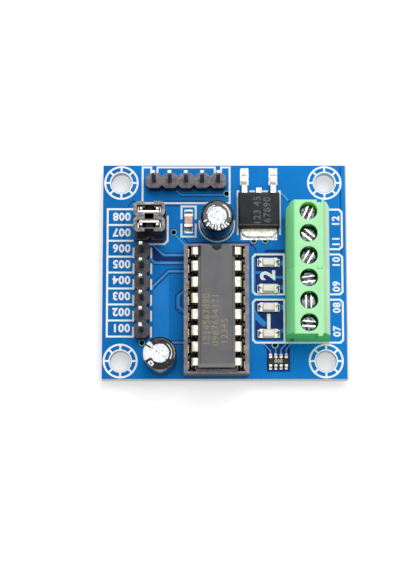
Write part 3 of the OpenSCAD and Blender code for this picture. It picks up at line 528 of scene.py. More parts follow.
@dataclass(frozen=True)
class TurnedScrew(Finish):
    """Zinc-plated steel screw: a slot of painted shade between two bright burrs, on a clouded turned face."""

    centre: Corner = (0.0, 0.0, 0.0)
    angle: float = 0.0
    slot_mm: float = 0.26
    burr_mm: float = 0.5
    cloud_mm: float = 0.4
    face_colours: tuple[str, str] = ("#242A30", "#7B828B")
    # Painted shade in the slot, with paler specks
    slot_shade_colours: tuple[str, str] = ("#1B1918", "#6E6763")

    def pattern(self, tree: NodeTree, coords: NodeSocket, shader: Node) -> None:
        """Colours the slot with painted shade, and its burrs and the face, by the distance from the slot's
        middle.
        """
        place = add_node(
            tree, "Mapping",
            {"Vector": coords, "Location": self.centre, "Rotation": (0, 0, math.radians(self.angle))},
            vector_type="TEXTURE",
        )
        across = add_node(tree, "SeparateXYZ", {0: place.outputs[0]}).outputs["Y"]
        away = add_node(tree, "Math", {0: across}, operation="ABSOLUTE")
        ragged = add_node(tree, "TexNoise", {"Vector": coords, "Scale": per_metre(0.28), "Detail": 2.0})
        edge = add_node(
            tree, "Math", {0: ragged.outputs["Fac"], 1: 0.35 * MM, 2: away.outputs[0]},
            operation="MULTIPLY_ADD",
        )
        cloud = add_node(
            tree, "TexNoise", {"Vector": coords, "Scale": per_metre(self.cloud_mm), "Detail": 3.0}
        )
        weight = add_node(
            tree, "MapRange", {"Value": cloud.outputs["Fac"], "From Min": 0.42, "From Max": 0.58}
        )
        face, slot_shade = (
            add_node(
                tree, "MixRGB", {"Fac": weight.outputs[0], "Color1": linear(dark), "Color2": linear(light)}
            )
            for dark, light in (self.face_colours, self.slot_shade_colours)
        )
        colour = face.outputs[0]
        # The burrs, then the slot's painted shade, over the face
        for reach, tone in ((self.burr_mm, linear(self.colour)), (self.slot_mm, slot_shade.outputs[0])):
            inside = add_node(
                tree, "MapRange",
                {"Value": edge.outputs[0], "From Min": (reach + 0.2) * MM, "From Max": (reach + 0.14) * MM},
            )
            layer = add_node(tree, "MixRGB", {"Fac": inside.outputs[0], "Color1": colour, "Color2": tone})
            colour = layer.outputs[0]
        bump = add_node(
            tree, "Bump", {"Height": ragged.outputs["Fac"], "Strength": 0.35, "Distance": 0.06 * MM}
        )
        tree.links.new(colour, shader.inputs["Base Color"])
        tree.links.new(bump.outputs[0], shader.inputs["Normal"])


@dataclass(frozen=True)
class Sector:
    """A patch on a round top, by bearings from south towards east and by distances from its axis."""

    colour: str
    start: float
    end: float
    near: float
    far: float


@dataclass(frozen=True)
class ShrinkSleeve(Finish):
    """Black shrink film on a can: glossy, printed in white, with painted highlights and white strokes on its
    rolled edge.
    """

    centre: Corner = (0.0, 0.0, 0.0)
    sectors: tuple[Sector, ...] = ()
    below_mm: float = 5.4

    def pattern(self, tree: NodeTree, coords: NodeSocket, shader: Node) -> None:
        """Lays each sector by its bearing and its distance, on the upper part of the sleeve alone."""
        place = add_node(tree, "VectorMath", {0: coords, 1: self.centre}, operation="SUBTRACT")
        wobble = add_node(tree, "TexNoise", {"Vector": coords, "Scale": per_metre(0.35), "Detail": 2.0})
        shaky = add_node(
            tree, "VectorMath",
            {0: wobble.outputs["Color"], 1: (0.32 * MM,) * 3, 2: place.outputs[0]}, operation="MULTIPLY_ADD",
        )
        moved = add_node(tree, "VectorMath", {0: shaky.outputs[0], 1: (0.16 * MM,) * 3}, operation="SUBTRACT")
        parts = add_node(tree, "SeparateXYZ", {0: moved.outputs[0]})
        south = add_node(tree, "Math", {0: parts.outputs["Y"], 1: -1.0}, operation="MULTIPLY")
        bearing = add_node(tree, "Math", {0: parts.outputs["X"], 1: south.outputs[0]}, operation="ARCTAN2")
        flat = add_node(tree, "VectorMath", {0: moved.outputs[0], 1: (1.0, 1.0, 0.0)}, operation="MULTIPLY")
        away = add_node(tree, "VectorMath", {0: flat.outputs[0]}, operation="LENGTH").outputs["Value"]
        high = add_node(
            tree, "Math", {0: parts.outputs["Z"], 1: self.below_mm * MM}, operation="GREATER_THAN"
        )
        colour: object = linear(self.colour)
        for sector in self.sectors:
            turn = add_node(
                tree, "Math",
                {0: bearing.outputs[0], 1: math.radians((sector.start + sector.end) / 2),
                 2: math.radians((sector.end - sector.start) / 2)},
                operation="COMPARE",
            )
            ring = add_node(
                tree, "Math",
                {0: away, 1: (sector.near + sector.far) / 2 * MM, 2: (sector.far - sector.near) / 2 * MM},
                operation="COMPARE",
            )
            both = add_node(tree, "Math", {0: turn.outputs[0], 1: ring.outputs[0]}, operation="MULTIPLY")
            here = add_node(tree, "Math", {0: both.outputs[0], 1: high.outputs[0]}, operation="MULTIPLY")
            mix = add_node(
                tree, "MixRGB", {"Fac": here.outputs[0], "Color1": colour, "Color2": linear(sector.colour)}
            )
            colour = mix.outputs[0]
        creases = add_node(tree, "TexNoise", {"Vector": coords, "Scale": per_metre(0.9), "Detail": 2.0})
        bump = add_node(
            tree, "Bump", {"Height": creases.outputs["Fac"], "Strength": 0.2, "Distance": 0.2 * MM}
        )
        tree.links.new(colour, shader.inputs["Base Color"])
        tree.links.new(bump.outputs[0], shader.inputs["Normal"])


# Liquid solder resist over copper: bright azure where the copper is, navy over bare laminate
RESIST = SolderResist("blue_resist_over_copper", "#0078CC", 0.35, second="#0085DA", mottle_mm=9.0,
                      grain_mm=0.5, grain=0.05, specular=0.05,
                      darker_zones=(Zone("#056BB4", (-30, -20, -5), (-13.2, 20, 5), 3.0, 0.8),))
RESIST_LIGHT = Moulded("blue_resist_over_plane", "#1584DC", 0.35, second="#2C93E6", mottle_mm=5.0,
                       grain_mm=0.5, grain=0.05, specular=0.05)
RESIST_TRACK = Moulded("blue_resist_on_track", "#3295E0", 0.3, second="#4FA8E8", mottle_mm=2.0,
                       grain_mm=0.4, grain=0.05, specular=0.2)
RESIST_BARE = Moulded("blue_resist_on_laminate", "#053379", 0.35, second="#072A68", mottle_mm=1.5,
                      grain_mm=0.4, grain=0.05, specular=0.08)
VIA_RING = Moulded("resist_over_via_land", "#74BDCB", 0.35, second="#4BA0BA", mottle_mm=0.4, specular=0.2)
# Screen-printed epoxy ink: thin, matt and pure white
INK = Moulded("white_printed_ink", "#FFFFFF", 0.5, second="#F3FAFF", mottle_mm=0.5, grain_mm=0.1, grain=0.05,
              specular=0.2)
# Laser marks on epoxy: the burnt filler is paler than the black
CHIP_MARK = Moulded("laser_marked_chip", "#969079", 0.6, second="#7D796B", mottle_mm=0.3, specular=0.1)
REGULATOR_MARK = Moulded("laser_marked_regulator", "#77767C", 0.6, second="#4C4B51", mottle_mm=0.35,
                         specular=0.1)
ARRAY_MARK = Moulded("printed_array_mark", "#E8E6E0", 0.5, second="#BDBAB2", mottle_mm=0.2, specular=0.1)
# Tinned copper and bronze: bright but cloudy, warm on the thick leads
TIN = Plated("tinned_leads", "#D0CCBF", 0.42, metallic=1.0, second="#ADA898")
TIN_PIN = Plated("tinned_header_pins", "#F4F1E8", 0.35, metallic=1.0, second="#D0CBBE")
SOLDER = Plated("reflowed_solder", "#C6C9CC", 0.3, metallic=1.0, second="#74787D", cloud_mm=0.4, dent=0.4)
BRONZE = Plated("socket_contact_bronze", "#B9A283", 0.4, metallic=1.0, second="#85705A")
ZINC = Plated("zinc_plated_cage", "#C8CCD0", 0.35, metallic=1.0, second="#8A8E92")
# Glass-filled polyesters and epoxies, moulded, with the grey bloom that handling leaves
SOCKET = Moulded("moulded_socket_frame", "#7A777D", 0.55, second="#A29FA6", mottle_mm=0.7, grain=0.2,
                 specular=0.2)
HEADER = Moulded("moulded_header_strip", "#42444D", 0.5, second="#615F66", mottle_mm=0.4, grain=0.2,
                 specular=0.2)
CAP = Moulded("moulded_jumper_cap", "#757271", 0.5, second="#A6A2A2", mottle_mm=0.55, grain=0.25,
              spread=(0.42, 0.66), specular=0.2)
EPOXY_GREY = Moulded("moulded_chip_epoxy", "#656669", 0.55, second="#6F6E70", mottle_mm=2.5,
                     grain_mm=0.1, grain=0.25, specular=0.2)
EPOXY_BLACK = Moulded("moulded_regulator_epoxy", "#1F2024", 0.5, second="#303136", mottle_mm=0.9,
                      grain_mm=0.1, grain=0.25, specular=0.2)
NYLON = Moulded("moulded_green_polyamide", "#B6F3BA", 0.5, second="#ADEFB3", mottle_mm=3.0,
                grain_mm=0.2, grain=0.12, specular=0.0)
RUBBER = Moulded("butyl_seal", "#1C1B1E", 0.7, second="#2A282C", specular=0.2)
# Deep-drawn aluminium: the bare disc is crazed with bright and grey patches
CAN = Plated("drawn_aluminium_can", "#E9EBEF", 0.45, metallic=1.0, second="#8B8F9A", cloud_mm=0.4,
             dent_mm=0.3, dent=0.6)
# Fired ceramics and cast resins
CERAMIC = Moulded("fired_capacitor_ceramic", "#EFCBBB", 0.5, second="#E2B8A6", mottle_mm=0.5, specular=0.2)
LAMP_BASE = Moulded("lamp_base_laminate", "#F4F0E4", 0.5, second="#E2DCC8", mottle_mm=0.5, specular=0.2)
LAMP_RESIN = Moulded("cast_lamp_resin", "#FFFDF7", 0.35, second="#F6F0E2", mottle_mm=0.6, grain=0.05,
                     specular=0.3)
ARRAY_GLASS = Moulded("glazed_resistor_body", "#141316", 0.35, second="#241E22", mottle_mm=0.4, specular=0.2)
# Painted shade: a flat black for the dark inside of a hole
SHADE = Moulded("painted_hole_shade", "#030507", 0.9, second="#06080C", specular=0.02)


def ready(obj: Object, finish: Finish, body: str = "board") -> Object:
    """Dresses a new piece and sets it on its body.

    Args:
        obj: The new piece.
        finish: Its finish.
        body: The body that it rides on.

    Returns:
        The same piece.
    """
    finish.dress(obj)
    if obj.parent is None:
        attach(obj, body)
    log.info("%s: %d faces", obj.name, len(obj.data.polygons))
    return obj


def dress_packed(finish: Finish, *nodes: str) -> None:
    """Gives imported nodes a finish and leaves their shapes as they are."""
    for node in nodes:
        finish.dress(frame["nodes"][node])


@dataclass
class PrintedBoard:
    """The board: solder resist over etched copper, with vias and bare laminate at its edges."""

    track_width: float = 0.32
    track_rise: float = 0.016
    gap_width: float = 0.18
    gap_rise: float = 0.004
    edge_width: float = 0.14
    edge_rise: float = 0.01
    patch: float = 0.006
    via_places: tuple[Point, ...] = (
        (-7.84, 6.3), (0.59, 12.59), (4.88, 4.98), (6.7, 4.98), (8.17, -11.8), (-12.82, -11.46),
    )
    tracks: tuple[Path, ...] = (
        ((-11.2, 4.35), (-9.4, 2.65), (-6.1, 2.65)),
        ((-11.6, 2.1), (-10.85, 1.35), (-6.1, 1.35)),
        ((-11.4, -2.75), (-8.6, 0.0), (-6.1, 0.0)),
        ((-7.45, 13.1), (-6.7, 12.37), (0.2, 12.37)),
        ((-7.84, 6.1), (-5.6, 3.8)),
        ((-8.2, -11.42), (-6.1, -11.42)),
        ((6.05, -11.3), (7.42, -12.7), (7.42, -13.3)),
        ((8.25, -12.2), (8.25, -13.3)),
        ((10.0, -11.5), (9.1, -12.5), (9.1, -13.3)),
        ((10.6, -11.6), (9.93, -12.5), (9.93, -13.3)),
        ((9.0, 12.95), (10.4, 11.5)),
        ((-7.1, -5.0), (-7.1, -4.0), (-6.2, -3.2)),
        ((-7.1, -4.9), (-7.1, -5.7), (-6.2, -6.4)),
    )
    gaps: tuple[Path, ...] = (
        ((-11.2, 4.6), (-9.35, 2.88), (-6.1, 2.88)),
        ((-11.3, 1.5), (-10.95, 1.05), (-6.1, 1.05)),
        ((-11.25, -2.15), (-8.7, 0.3), (-6.1, 0.3)),
        ((-11.0, -2.8), (-8.55, -0.31), (-6.1, -0.31)),
        ((-7.4, 12.9), (-6.75, 12.15), (0.15, 12.15)),
        ((-9.3, 11.37), (-2.7, 11.37)),
        ((-9.3, 10.62), (-6.85, 10.62)),
        ((-7.5, 5.6), (-5.9, 4.0)),
        ((-6.2, 5.4), (-5.55, 4.68), (4.2, 4.68), (5.2, 3.6), (5.2, 3.1)),
        ((4.3, 4.4), (4.6, 4.1)),
        ((6.5, 3.1), (6.9, 3.42), (9.8, 3.42)),
        ((-6.1, -2.6), (-7.54, -3.9), (-7.54, -5.95), (-6.7, -6.85), (-6.1, -6.9)),
        ((-6.1, -3.75), (-6.63, -4.25), (-6.63, -5.5), (-6.1, -5.95)),
        ((-8.2, -11.15), (-6.1, -11.15)),
        ((-7.7, -11.71), (-6.1, -11.71)),
        ((9.2, 12.75), (10.6, 11.3)),
        ((8.8, 12.8), (9.9, 11.7)),
        ((-15.2, 10.3), (-14.5, 11.35), (-13.4, 11.35)),
        ((4.0, -5.4), (4.3, -5.7)),
        ((18.75, 16.9), (18.75, 2.4)),
        ((-15.75, 10.4), (-15.75, 2.0)),
    )
    band_edges: tuple[Path, ...] = (
        ((4.9, -6.1), (6.56, -8.85)),
        ((4.85, -7.32), (6.3, -8.85)),
        ((4.9, -6.3), (4.9, -4.7)),
    )
    bare: tuple[Path, ...] = (
        ((-11.3, 4.2), (-11.3, 2.1), (-10.7, 1.62), (-6.1, 1.62), (-6.1, 2.38), (-9.5, 2.38)),
        ((5.15, -3.7), (9.65, -3.7), (9.65, 2.65), (5.15, 2.65)),
        ((5.1, -10.95), (9.65, -10.95), (9.65, -4.6), (5.1, -4.6)),
        ((6.85, -12.6), (6.3, -12.0), (6.6, -11.3), (10.3, -11.3), (10.52, -12.0), (10.52, -16.05),
         (6.85, -16.05)),
        ((6.6, 3.05), (9.8, 3.05), (9.8, 3.35), (6.9, 3.35)),
    )
    planes: tuple[Path, ...] = (
        ((-11.0, -3.0), (-8.57, -0.6), (-8.57, -10.9), (-11.0, -10.9)),
        ((4.85, -1.8), (5.12, -1.8), (5.12, 1.7), (4.85, 1.7)),
        ((5.15, -0.4), (6.1, -0.4), (6.1, 0.0), (5.15, 0.0)),
        ((8.25, -1.15), (9.65, -1.15), (9.65, -0.75), (8.25, -0.75)),
        ((9.1, 0.9), (9.65, 0.9), (9.65, 1.7), (9.1, 1.7)),
        ((9.1, -2.95), (9.65, -2.95), (9.65, -2.25), (9.1, -2.25)),
        ((4.85, -6.3), (6.9, -8.3), (6.5, -8.8), (4.85, -7.3)),
        ((9.1, -6.15), (9.65, -6.15), (9.65, -5.4), (9.1, -5.4)),
        ((9.1, -9.9), (9.65, -9.9), (9.65, -9.2), (9.1, -9.2)),
    )

    def build(self) -> None:
        """Dresses the board and lays its copper relief and vias."""
        dress_packed(RESIST, "circuit_board")
        top = BOARD_TOP
        band = top + 0.008
        pieces = (
            (sheets("bare_resist", self.bare, top, self.patch), RESIST_BARE),
            (sheets("copper_planes", self.planes, top + self.gap_rise, self.patch), RESIST_LIGHT),
            (ribbons("etched_gaps", self.gaps, self.gap_width, top, self.gap_rise), RESIST_BARE),
            (ribbons("tracks", self.tracks, self.track_width, top, self.track_rise), RESIST_TRACK),
            (ribbons("band_edges", self.band_edges, self.edge_width, band, self.edge_rise), RESIST_TRACK),
        )
        for piece, finish in pieces:
            ready(piece, finish)
        self.build_vias()

    def build_vias(self) -> None:
        """Lays a navy border, a resist ring and a black disc of painted shade over the hole at every via."""
        discs = (
            ("via_borders", 0.7, 0.011, RESIST_BARE),
            ("via_rings", 0.57, 0.02, VIA_RING),
            # A black disc of painted shade over each via's hole, standing for the dark inside of it
            ("via_mouths", 0.36, 0.03, SHADE),
        )
        for name, radius, thickness, finish in discs:
            bpy.ops.object.select_all(action="DESELECT")
            bpy.ops.mesh.primitive_circle_add(vertices=28, radius=radius * MM, fill_type="NGON")
            disc = settle(bpy.context.object, name)
            with editing(disc):
                bpy.ops.mesh.extrude_region_move(TRANSFORM_OT_translate={"value": (0, 0, thickness * MM)})
                bpy.ops.mesh.inset(thickness=thickness / 2 * MM, depth=0)
                bpy.ops.transform.translate(value=(0, 0, -thickness / 3 * MM))
            face_outwards(disc)
            places = [Vector((x, y, BOARD_TOP)) * MM for x, y in self.via_places]
            ready(copies(disc, name, places), finish)


def print_number(name: str, number: str, place: Corner, height: float, reading: Reading,
                 finish: Finish = INK) -> Object:
    """Prints one plain number as a thin raised layer.

    Args:
        name: The piece's name.
        number: What is printed.
        place: The middle of the number on the surface, in millimetres.
        height: Size of the type in millimetres.
        reading: Which way the number is turned.
        finish: What it is printed with.

    Returns:
        The printed number.
    """
    layer = 0.012
    stroke = 0.035 if finish is INK else 0.015
    bpy.ops.object.select_all(action="DESELECT")
    bpy.ops.object.text_add(
        location=(Vector(place) + Vector((0, 0, layer))) * MM, rotation=(0, 0, math.radians(reading.value))
    )
    text = bpy.context.object
    text.data.body = number
    text.data.size = height * MM
    text.data.align_x = "CENTER"
    text.data.align_y = "CENTER"
    text.data.offset = stroke * height * MM
    text.data.space_character = 1.1
    text.data.resolution_u = 3
    text.data.extrude = layer * MM
    bpy.ops.object.convert(target="MESH")
    return ready(settle(bpy.context.object, name), finish)


@dataclass
class PrintedLegend:
    """White printing on the board: plain numbers in the cells and boxes that are drawn in CAD."""

    cell_numbers: tuple[str, ...] = ("001", "002", "003", "004", "005", "006", "007", "008")
    cell_x: float = -16.1
    cell_low: float = -9.05
    cell_pitch: float = 2.565
    cell_height: float = 1.75
    side_numbers: tuple[tuple[str, float], ...] = (
        ("12", 8.1), ("11", 4.8), ("10", 1.45), ("09", -2.45), ("08", -5.85), ("07", -9.65),
    )
    side_x: float = 18.0
    side_height: float = 1.6
    channel_x: float = 7.2
    channel_height: float = 3.2

    def build(self) -> None:
        """Dresses the printed frames and adds the numbers."""
        dress_packed(INK, "legend_print")
        for i, number in enumerate(self.cell_numbers):
            place = (self.cell_x, self.cell_low + i * self.cell_pitch, BOARD_TOP)
            print_number(f"cell_number_{i + 1}", number, place, self.cell_height, Reading.UPSIDE_DOWN)
        for i, (number, y) in enumerate(self.side_numbers, 1):
            place = (self.side_x, y, BOARD_TOP)
            print_number(f"side_number_{i}", number, place, self.side_height, Reading.UPWARDS)
        for number, y, reading in (("2", -0.65, Reading.UPWARDS), ("1", -7.9, Reading.UPSIDE_DOWN)):
            place = (self.channel_x, y, BOARD_TOP)
            print_number(f"channel_number_{number}", number, place, self.channel_height, reading)


@dataclass
class SocketedChip:
    """The driver chip in its socket: grey epoxy body, tinned leads and forked contacts."""

    rim: float = 0.95
    draft: float = 0.42
    lines: tuple[tuple[str, float, float], ...] = (
        ("1234567890", -2.6, -9.0),
        ("0987654321", -1.25, -9.0),
        ("12345", 0.13, -10.8),
    )
    mark_height: float = 1.5
    # Painted highlights on the chip's sloped sides and on its south end
    side_glint: str = "#918F8F"
    end_glint: str = "#A09E9C"
    # Painted shade in the chip's end pocket, in the socket's wells and on the socket's skirt
    pocket_shade: str = "#26262A"
    well_shade: str = "#1B1A1D"
    skirt_shade: str = "#2F2D31"

    def build(self) -> None:
        """Rounds the mouldings, marks the chip and dresses the leads and the contacts."""
        self.build_chip()
        self.build_socket()
        dress_packed(TIN, "driver_chip_leads")
        dress_packed(BRONZE, "socket_contacts")

    def build_chip(self) -> None:
        """Rounds the chip's body, paints highlights on its sides and south end, paints shade in its end
        pocket and marks it.
        """
        low, high = corners_of("driver_chip_body")
        west, east, south = low.x + self.draft, high.x - self.draft, low.y + self.draft
        zones = (
            # Painted highlights on the sloped sides and the south end, then painted shade in the end pocket
            Zone(self.side_glint, (low.x - 1, low.y, 0), (west, high.y, FAR), fade=0.15, strength=0.7),
            Zone(self.side_glint, (east, low.y, 0), (high.x + 1, high.y, FAR), fade=0.15, strength=0.7),
            Zone(self.end_glint, (low.x, low.y - 1, 0), (high.x, south, FAR), fade=0.15, strength=0.6),
            Zone(self.pocket_shade, (low.x, high.y - 2, low.z), (high.x, high.y, high.z - 0.12), fade=0.08),
        )
        ready(rounded("driver_chip_body", Edge.MOULDED), replace(EPOXY_GREY, zones=zones))
        for i, (number, x, y) in enumerate(self.lines, 1):
            place = (x, y, high.z - MARK_SINK)
            print_number(f"chip_number_{i}", number, place, self.mark_height, Reading.UPWARDS, CHIP_MARK)

    def build_socket(self) -> None:
        """Rounds the socket's frame and paints shade in its wells and on its skirt."""
        low, high = corners_of("socket_frame")
        rim = Vector((self.rim, self.rim, 0))
        # Painted shade inside the wells, and on the frame's sides below its top
        wells = Zone(self.well_shade, low + rim, high - rim + Vector((0, 0, 1)), fade=0.08)
        skirt = Zone(self.skirt_shade, low - BEYOND, high + Vector((1, 1, -0.35)), fade=0.3)
        ready(rounded("socket_frame", Edge.MOULDED), replace(SOCKET, zones=(skirt, wells)))


@dataclass
class ScrewTerminal:
    """The two dovetailed terminal blocks with their screws, cages and straps."""

    slot_angles: tuple[float, ...] = (65, -40, 60, 8, 90, -3)
    west_slope: float = 1.32
    east_slope: float = 1.1
    bore: float = 1.45
    rib: float = 0.35
    # Painted shade on the west slopes, painted light on the east slopes, painted shade on the south end face,
    # its lower west corner and the driver holes' walls, and a painted glow in the first hole
    west_shade: str = "#93F5A8"
    east_painted_light: str = "#DDF8E1"
    end_shade: str = "#57C377"
    corner_shade: str = "#06200E"
    bore_shade: str = "#1F8034"
    bore_glow: str = "#7FD95A"

    def build(self) -> None:
        """Rounds the housings and screws, paints light and shade on the housings and colours each screw by
        its place.
        """
        face = corners_of("terminal_housing_2")[0].y + self.rib
        for i in (1, 2):
            node = f"terminal_housing_{i}"
            low, high = corners_of(node)
            west, east = low.x + self.west_slope, high.x - self.east_slope
            zones = [
                # Painted shade on the west slope, painted light on the east slope, painted shade on the south
                # end face and in its lower west corner
                Zone(self.west_shade, (low.x - 1, -FAR, 0), (west, FAR, FAR), fade=0.08),
                Zone(self.east_painted_light, (east, -FAR, 0), (high.x + 1, FAR, FAR), fade=0.3, strength=0.8),
                Zone(self.end_shade, (low.x - 1, -FAR, 0), (high.x + 1, face + 0.3, high.z - 0.25), fade=0.1),
                Zone(self.corner_shade, (low.x + 0.55, -FAR, 0), (low.x + 1.3, face + 0.1, 5), fade=0.2),
            ]
            zones += [self.bore_zone(k, high.z) for k in range(1, len(self.slot_angles) + 1)]
            ready(rounded(node, Edge.MOULDED), replace(NYLON, name=f"{NYLON.name}_{i}", zones=tuple(zones)))
        dress_packed(TIN, "terminal_straps")
        for i, angle in enumerate(self.slot_angles, 1):
            node = f"clamp_screw_{i}"
            finish = TurnedScrew(
                f"zinc_screw_{i}", "#E3E4E7", 0.35, metallic=1.0, centre=tuple(centre_of(node)), angle=angle
            )
            ready(rounded(node, Edge.FINE), finish, f"screw_{i}")
            dress_packed(ZINC, f"wire_clamp_{i}")

    def bore_zone(self, number: int, top: float) -> Zone:
        """Gives one driver hole's wall a painted shade; the first gets a painted glow of light through the
        end wall.
        """
        middle = centre_of(f"clamp_screw_{number}") / MM
        # Painted shade on the hole's wall, or a painted glow in the first hole
        colour = self.bore_glow if number == 1 else self.bore_shade
        return Zone(
            colour, (middle.x - self.bore, middle.y - self.bore, 0),
            (middle.x + self.bore, middle.y + self.bore, top - 0.05), fade=0.12,
        )


@dataclass
class PinHeader:
    """A pin header: a moulded strip with chamfered cells, and its square tinned pins."""

    name: str
    bloom: str = "#47464C"
    # Painted shade on the strip's sides and on the pins' shafts below their bright tips
    side_shade: str = "#1A191C"
    shaft_shade: str = "#5C5750"
    bright: float = 0.55

    def build(self) -> None:
        """Chamfers the strip, paints shade on its sides and on the pins' shafts, leaving only the tips
        bright.
        """
        low, high = corners_of(f"{self.name}_strip")
        # Painted shade on the strip's sides below its top
        sides = Zone(self.side_shade, low - BEYOND, high + Vector((1, 1, -0.2)), fade=0.2)
        strip = replace(HEADER, name=f"{HEADER.name}_{self.name}", colour=self.bloom, zones=(sides,))
        ready(rounded(f"{self.name}_strip", Edge.WORN), strip)
        tip = corners_of(f"{self.name}_pins")[1].z - self.bright
        # Painted shade on the pins' shafts, up to their bright tips
        shaft = Zone(self.shaft_shade, (-FAR, -FAR, high.z - 0.5), (FAR, FAR, tip), fade=0.12)
        pins = replace(TIN_PIN, name=f"{TIN_PIN.name}_{self.name}", zones=(shaft,))
        dress_packed(pins, f"{self.name}_pins")


@dataclass
class JumperCap:
    """A pull-off jumper cap: a black shell with a folded contact clip."""

    number: int
    # Painted shade on the shell's sides
    side_shade: str = "#161518"

    def build(self) -> None:
        """Rounds the shell, paints shade on its sides and dresses the clip."""
        node = f"jumper_shell_{self.number}"
        low, high = corners_of(node)
        # Painted shade on the shell's sides below its top
        sides = Zone(self.side_shade, low - BEYOND, high + Vector((1, 1, -0.12)), fade=0.25)
        shell = replace(CAP, name=f"{CAP.name}_{self.number}", zones=(sides,))
        ready(rounded(node, Edge.MOULDED), shell, f"jumper_{self.number}")
        dress_packed(TIN_PIN, f"jumper_clip_{self.number}")


@dataclass
class CanCapacitor:
    """A round capacitor: a drawn can in a printed shrink sleeve, on a rubber seal."""

    number: int
    sectors: tuple[Sector, ...]

    def build(self) -> None:
        """Dresses the can, the sleeve with its print, the seal and the leads."""
        sleeve = f"capacitor_sleeve_{self.number}"
        centre = centre_of(sleeve)
        centre.z = BOARD_TOP * MM
        film = ShrinkSleeve(
            f"shrink_sleeve_{self.number}", "#070709", 0.12, specular=0.4, centre=tuple(centre),
            sectors=self.sectors,
        )
        dress_packed(film, sleeve)
        dress_packed(CAN, f"capacitor_can_{self.number}")
        dress_packed(RUBBER, f"capacitor_seal_{self.number}")
        dress_packed(TIN, f"capacitor_leads_{self.number}")


# Painted highlights in two arcs on the first can's rolled edge, then white strokes round the south of its top
FIRST_PRINT = (
    # Two painted highlights on the rolled edge
    Sector("#DDDCE0", -168, -98, 1.54, 1.72),
    Sector("#E4E3E6", 82, 152, 1.84, 2.06),
    # White strokes round the south of the top
    *(Sector("#F4F4F4", *white_stroke) for white_stroke in (
        (-70, -63, 1.7, 2.3), (-50, -42, 1.6, 2.3), (-36, -31, 1.5, 2.1), (-25, -18, 1.5, 2.2),
        (-10, -4, 1.5, 2.25), (3, 12, 1.45, 2.35), (22, 28, 1.6, 2.25), (33, 41, 1.5, 2.35),
        (47, 53, 1.7, 2.3),
    )),
)
# The second can's white polarity patch and a mark with a dark middle, then two painted highlight arcs on its
# rolled edge
SECOND_PRINT = (
    Sector("#ECECEE", -140, -125, 1.5, 2.5),
    Sector("#F4F4F5", -118, -64, 1.45, 3.0),
    Sector("#F4F4F5", -51, -29, 1.75, 2.4),
    Sector("#101012", -44, -36, 1.95, 2.18),
    # Painted highlights: a pale arc and a grey arc on the rolled edge
    Sector("#E6E6E8", 60, 142, 1.74, 1.92),
    Sector("#77767B", 70, 130, 2.2, 2.4),
)


@dataclass
class SurfaceParts:
    """The soldered small parts: ceramic capacitor, regulator, lamps and resistor array."""

    lamps: int = 4
    tinge: str = "#6F9A70"
    # An olive band along the body's south edge, and painted shade on its south face
    south_band: str = "#5D5B50"
    south_face_shade: str = "#0B0B0C"
    south_face_depth: float = 0.16
    regulator_height: float = 1.55
    array_height: float = 0.8
    regulator_lines: tuple[tuple[str, float, float], ...] = (("123 45", 5.45, 9.35), ("67890", 7.0, 9.45))

    def build(self) -> None:
        """Rounds the bodies and dresses the metal ends, lands and solder."""
        ready(rounded("ceramic_capacitor_body", Edge.FINE), CERAMIC)
        dress_packed(TIN, "ceramic_capacitor_ends")
        self.build_regulator()
        for i in range(1, self.lamps + 1):
            dress_packed(LAMP_BASE, f"lamp_base_{i}")
            ready(rounded(f"lamp_lens_{i}", Edge.MOULDED), LAMP_RESIN)
        east = corners_of("lamp_terminals")[1].x
        tinge = Zone(self.tinge, (east - 0.35, -FAR, 0), (east + 1, FAR, FAR), fade=0.2, strength=0.6)
        dress_packed(replace(TIN, name=f"{TIN.name}_lamps", zones=(tinge,)), "lamp_terminals")
        dress_packed(ARRAY_GLASS, "resistor_array_body")
        middle = centre_of("resistor_array_body") / MM
        top = corners_of("resistor_array_body")[1].z
        place = (middle.x, middle.y, top - 0.006)
        print_number("array_number", "000", place, self.array_height, Reading.UPRIGHT, ARRAY_MARK)
        dress_packed(TIN, "resistor_array_terminals")
        dress_packed(SOLDER, "tinned_pads", "surface_solder", "through_hole_solder")

    def build_regulator(self) -> None:
        """Rounds the regulator's body, paints an olive south band and shade on the south face above its tab,
        and marks it.
        """
        low, high = corners_of("regulator_body")
        lip = low.y + self.south_face_depth
        zones = (
            Zone(self.south_band, (low.x, lip, low.z), (high.x, low.y + 0.4, high.z + 1), fade=0.06),
            # Painted shade on the south face above the tab
            Zone(self.south_face_shade, (low.x, low.y - 1, low.z), (high.x, lip, high.z + 1), fade=0.04),
        )
        ready(rounded("regulator_body", Edge.MOULDED), replace(EPOXY_BLACK, zones=zones))
        for i, (number, x, y) in enumerate(self.regulator_lines, 1):
            place = (x, y, high.z - MARK_SINK)
            print_number(f"regulator_number_{i}", number, place, self.regulator_height, Reading.UPWARDS,
                         REGULATOR_MARK)
        dress_packed(TIN, "regulator_leadframe")


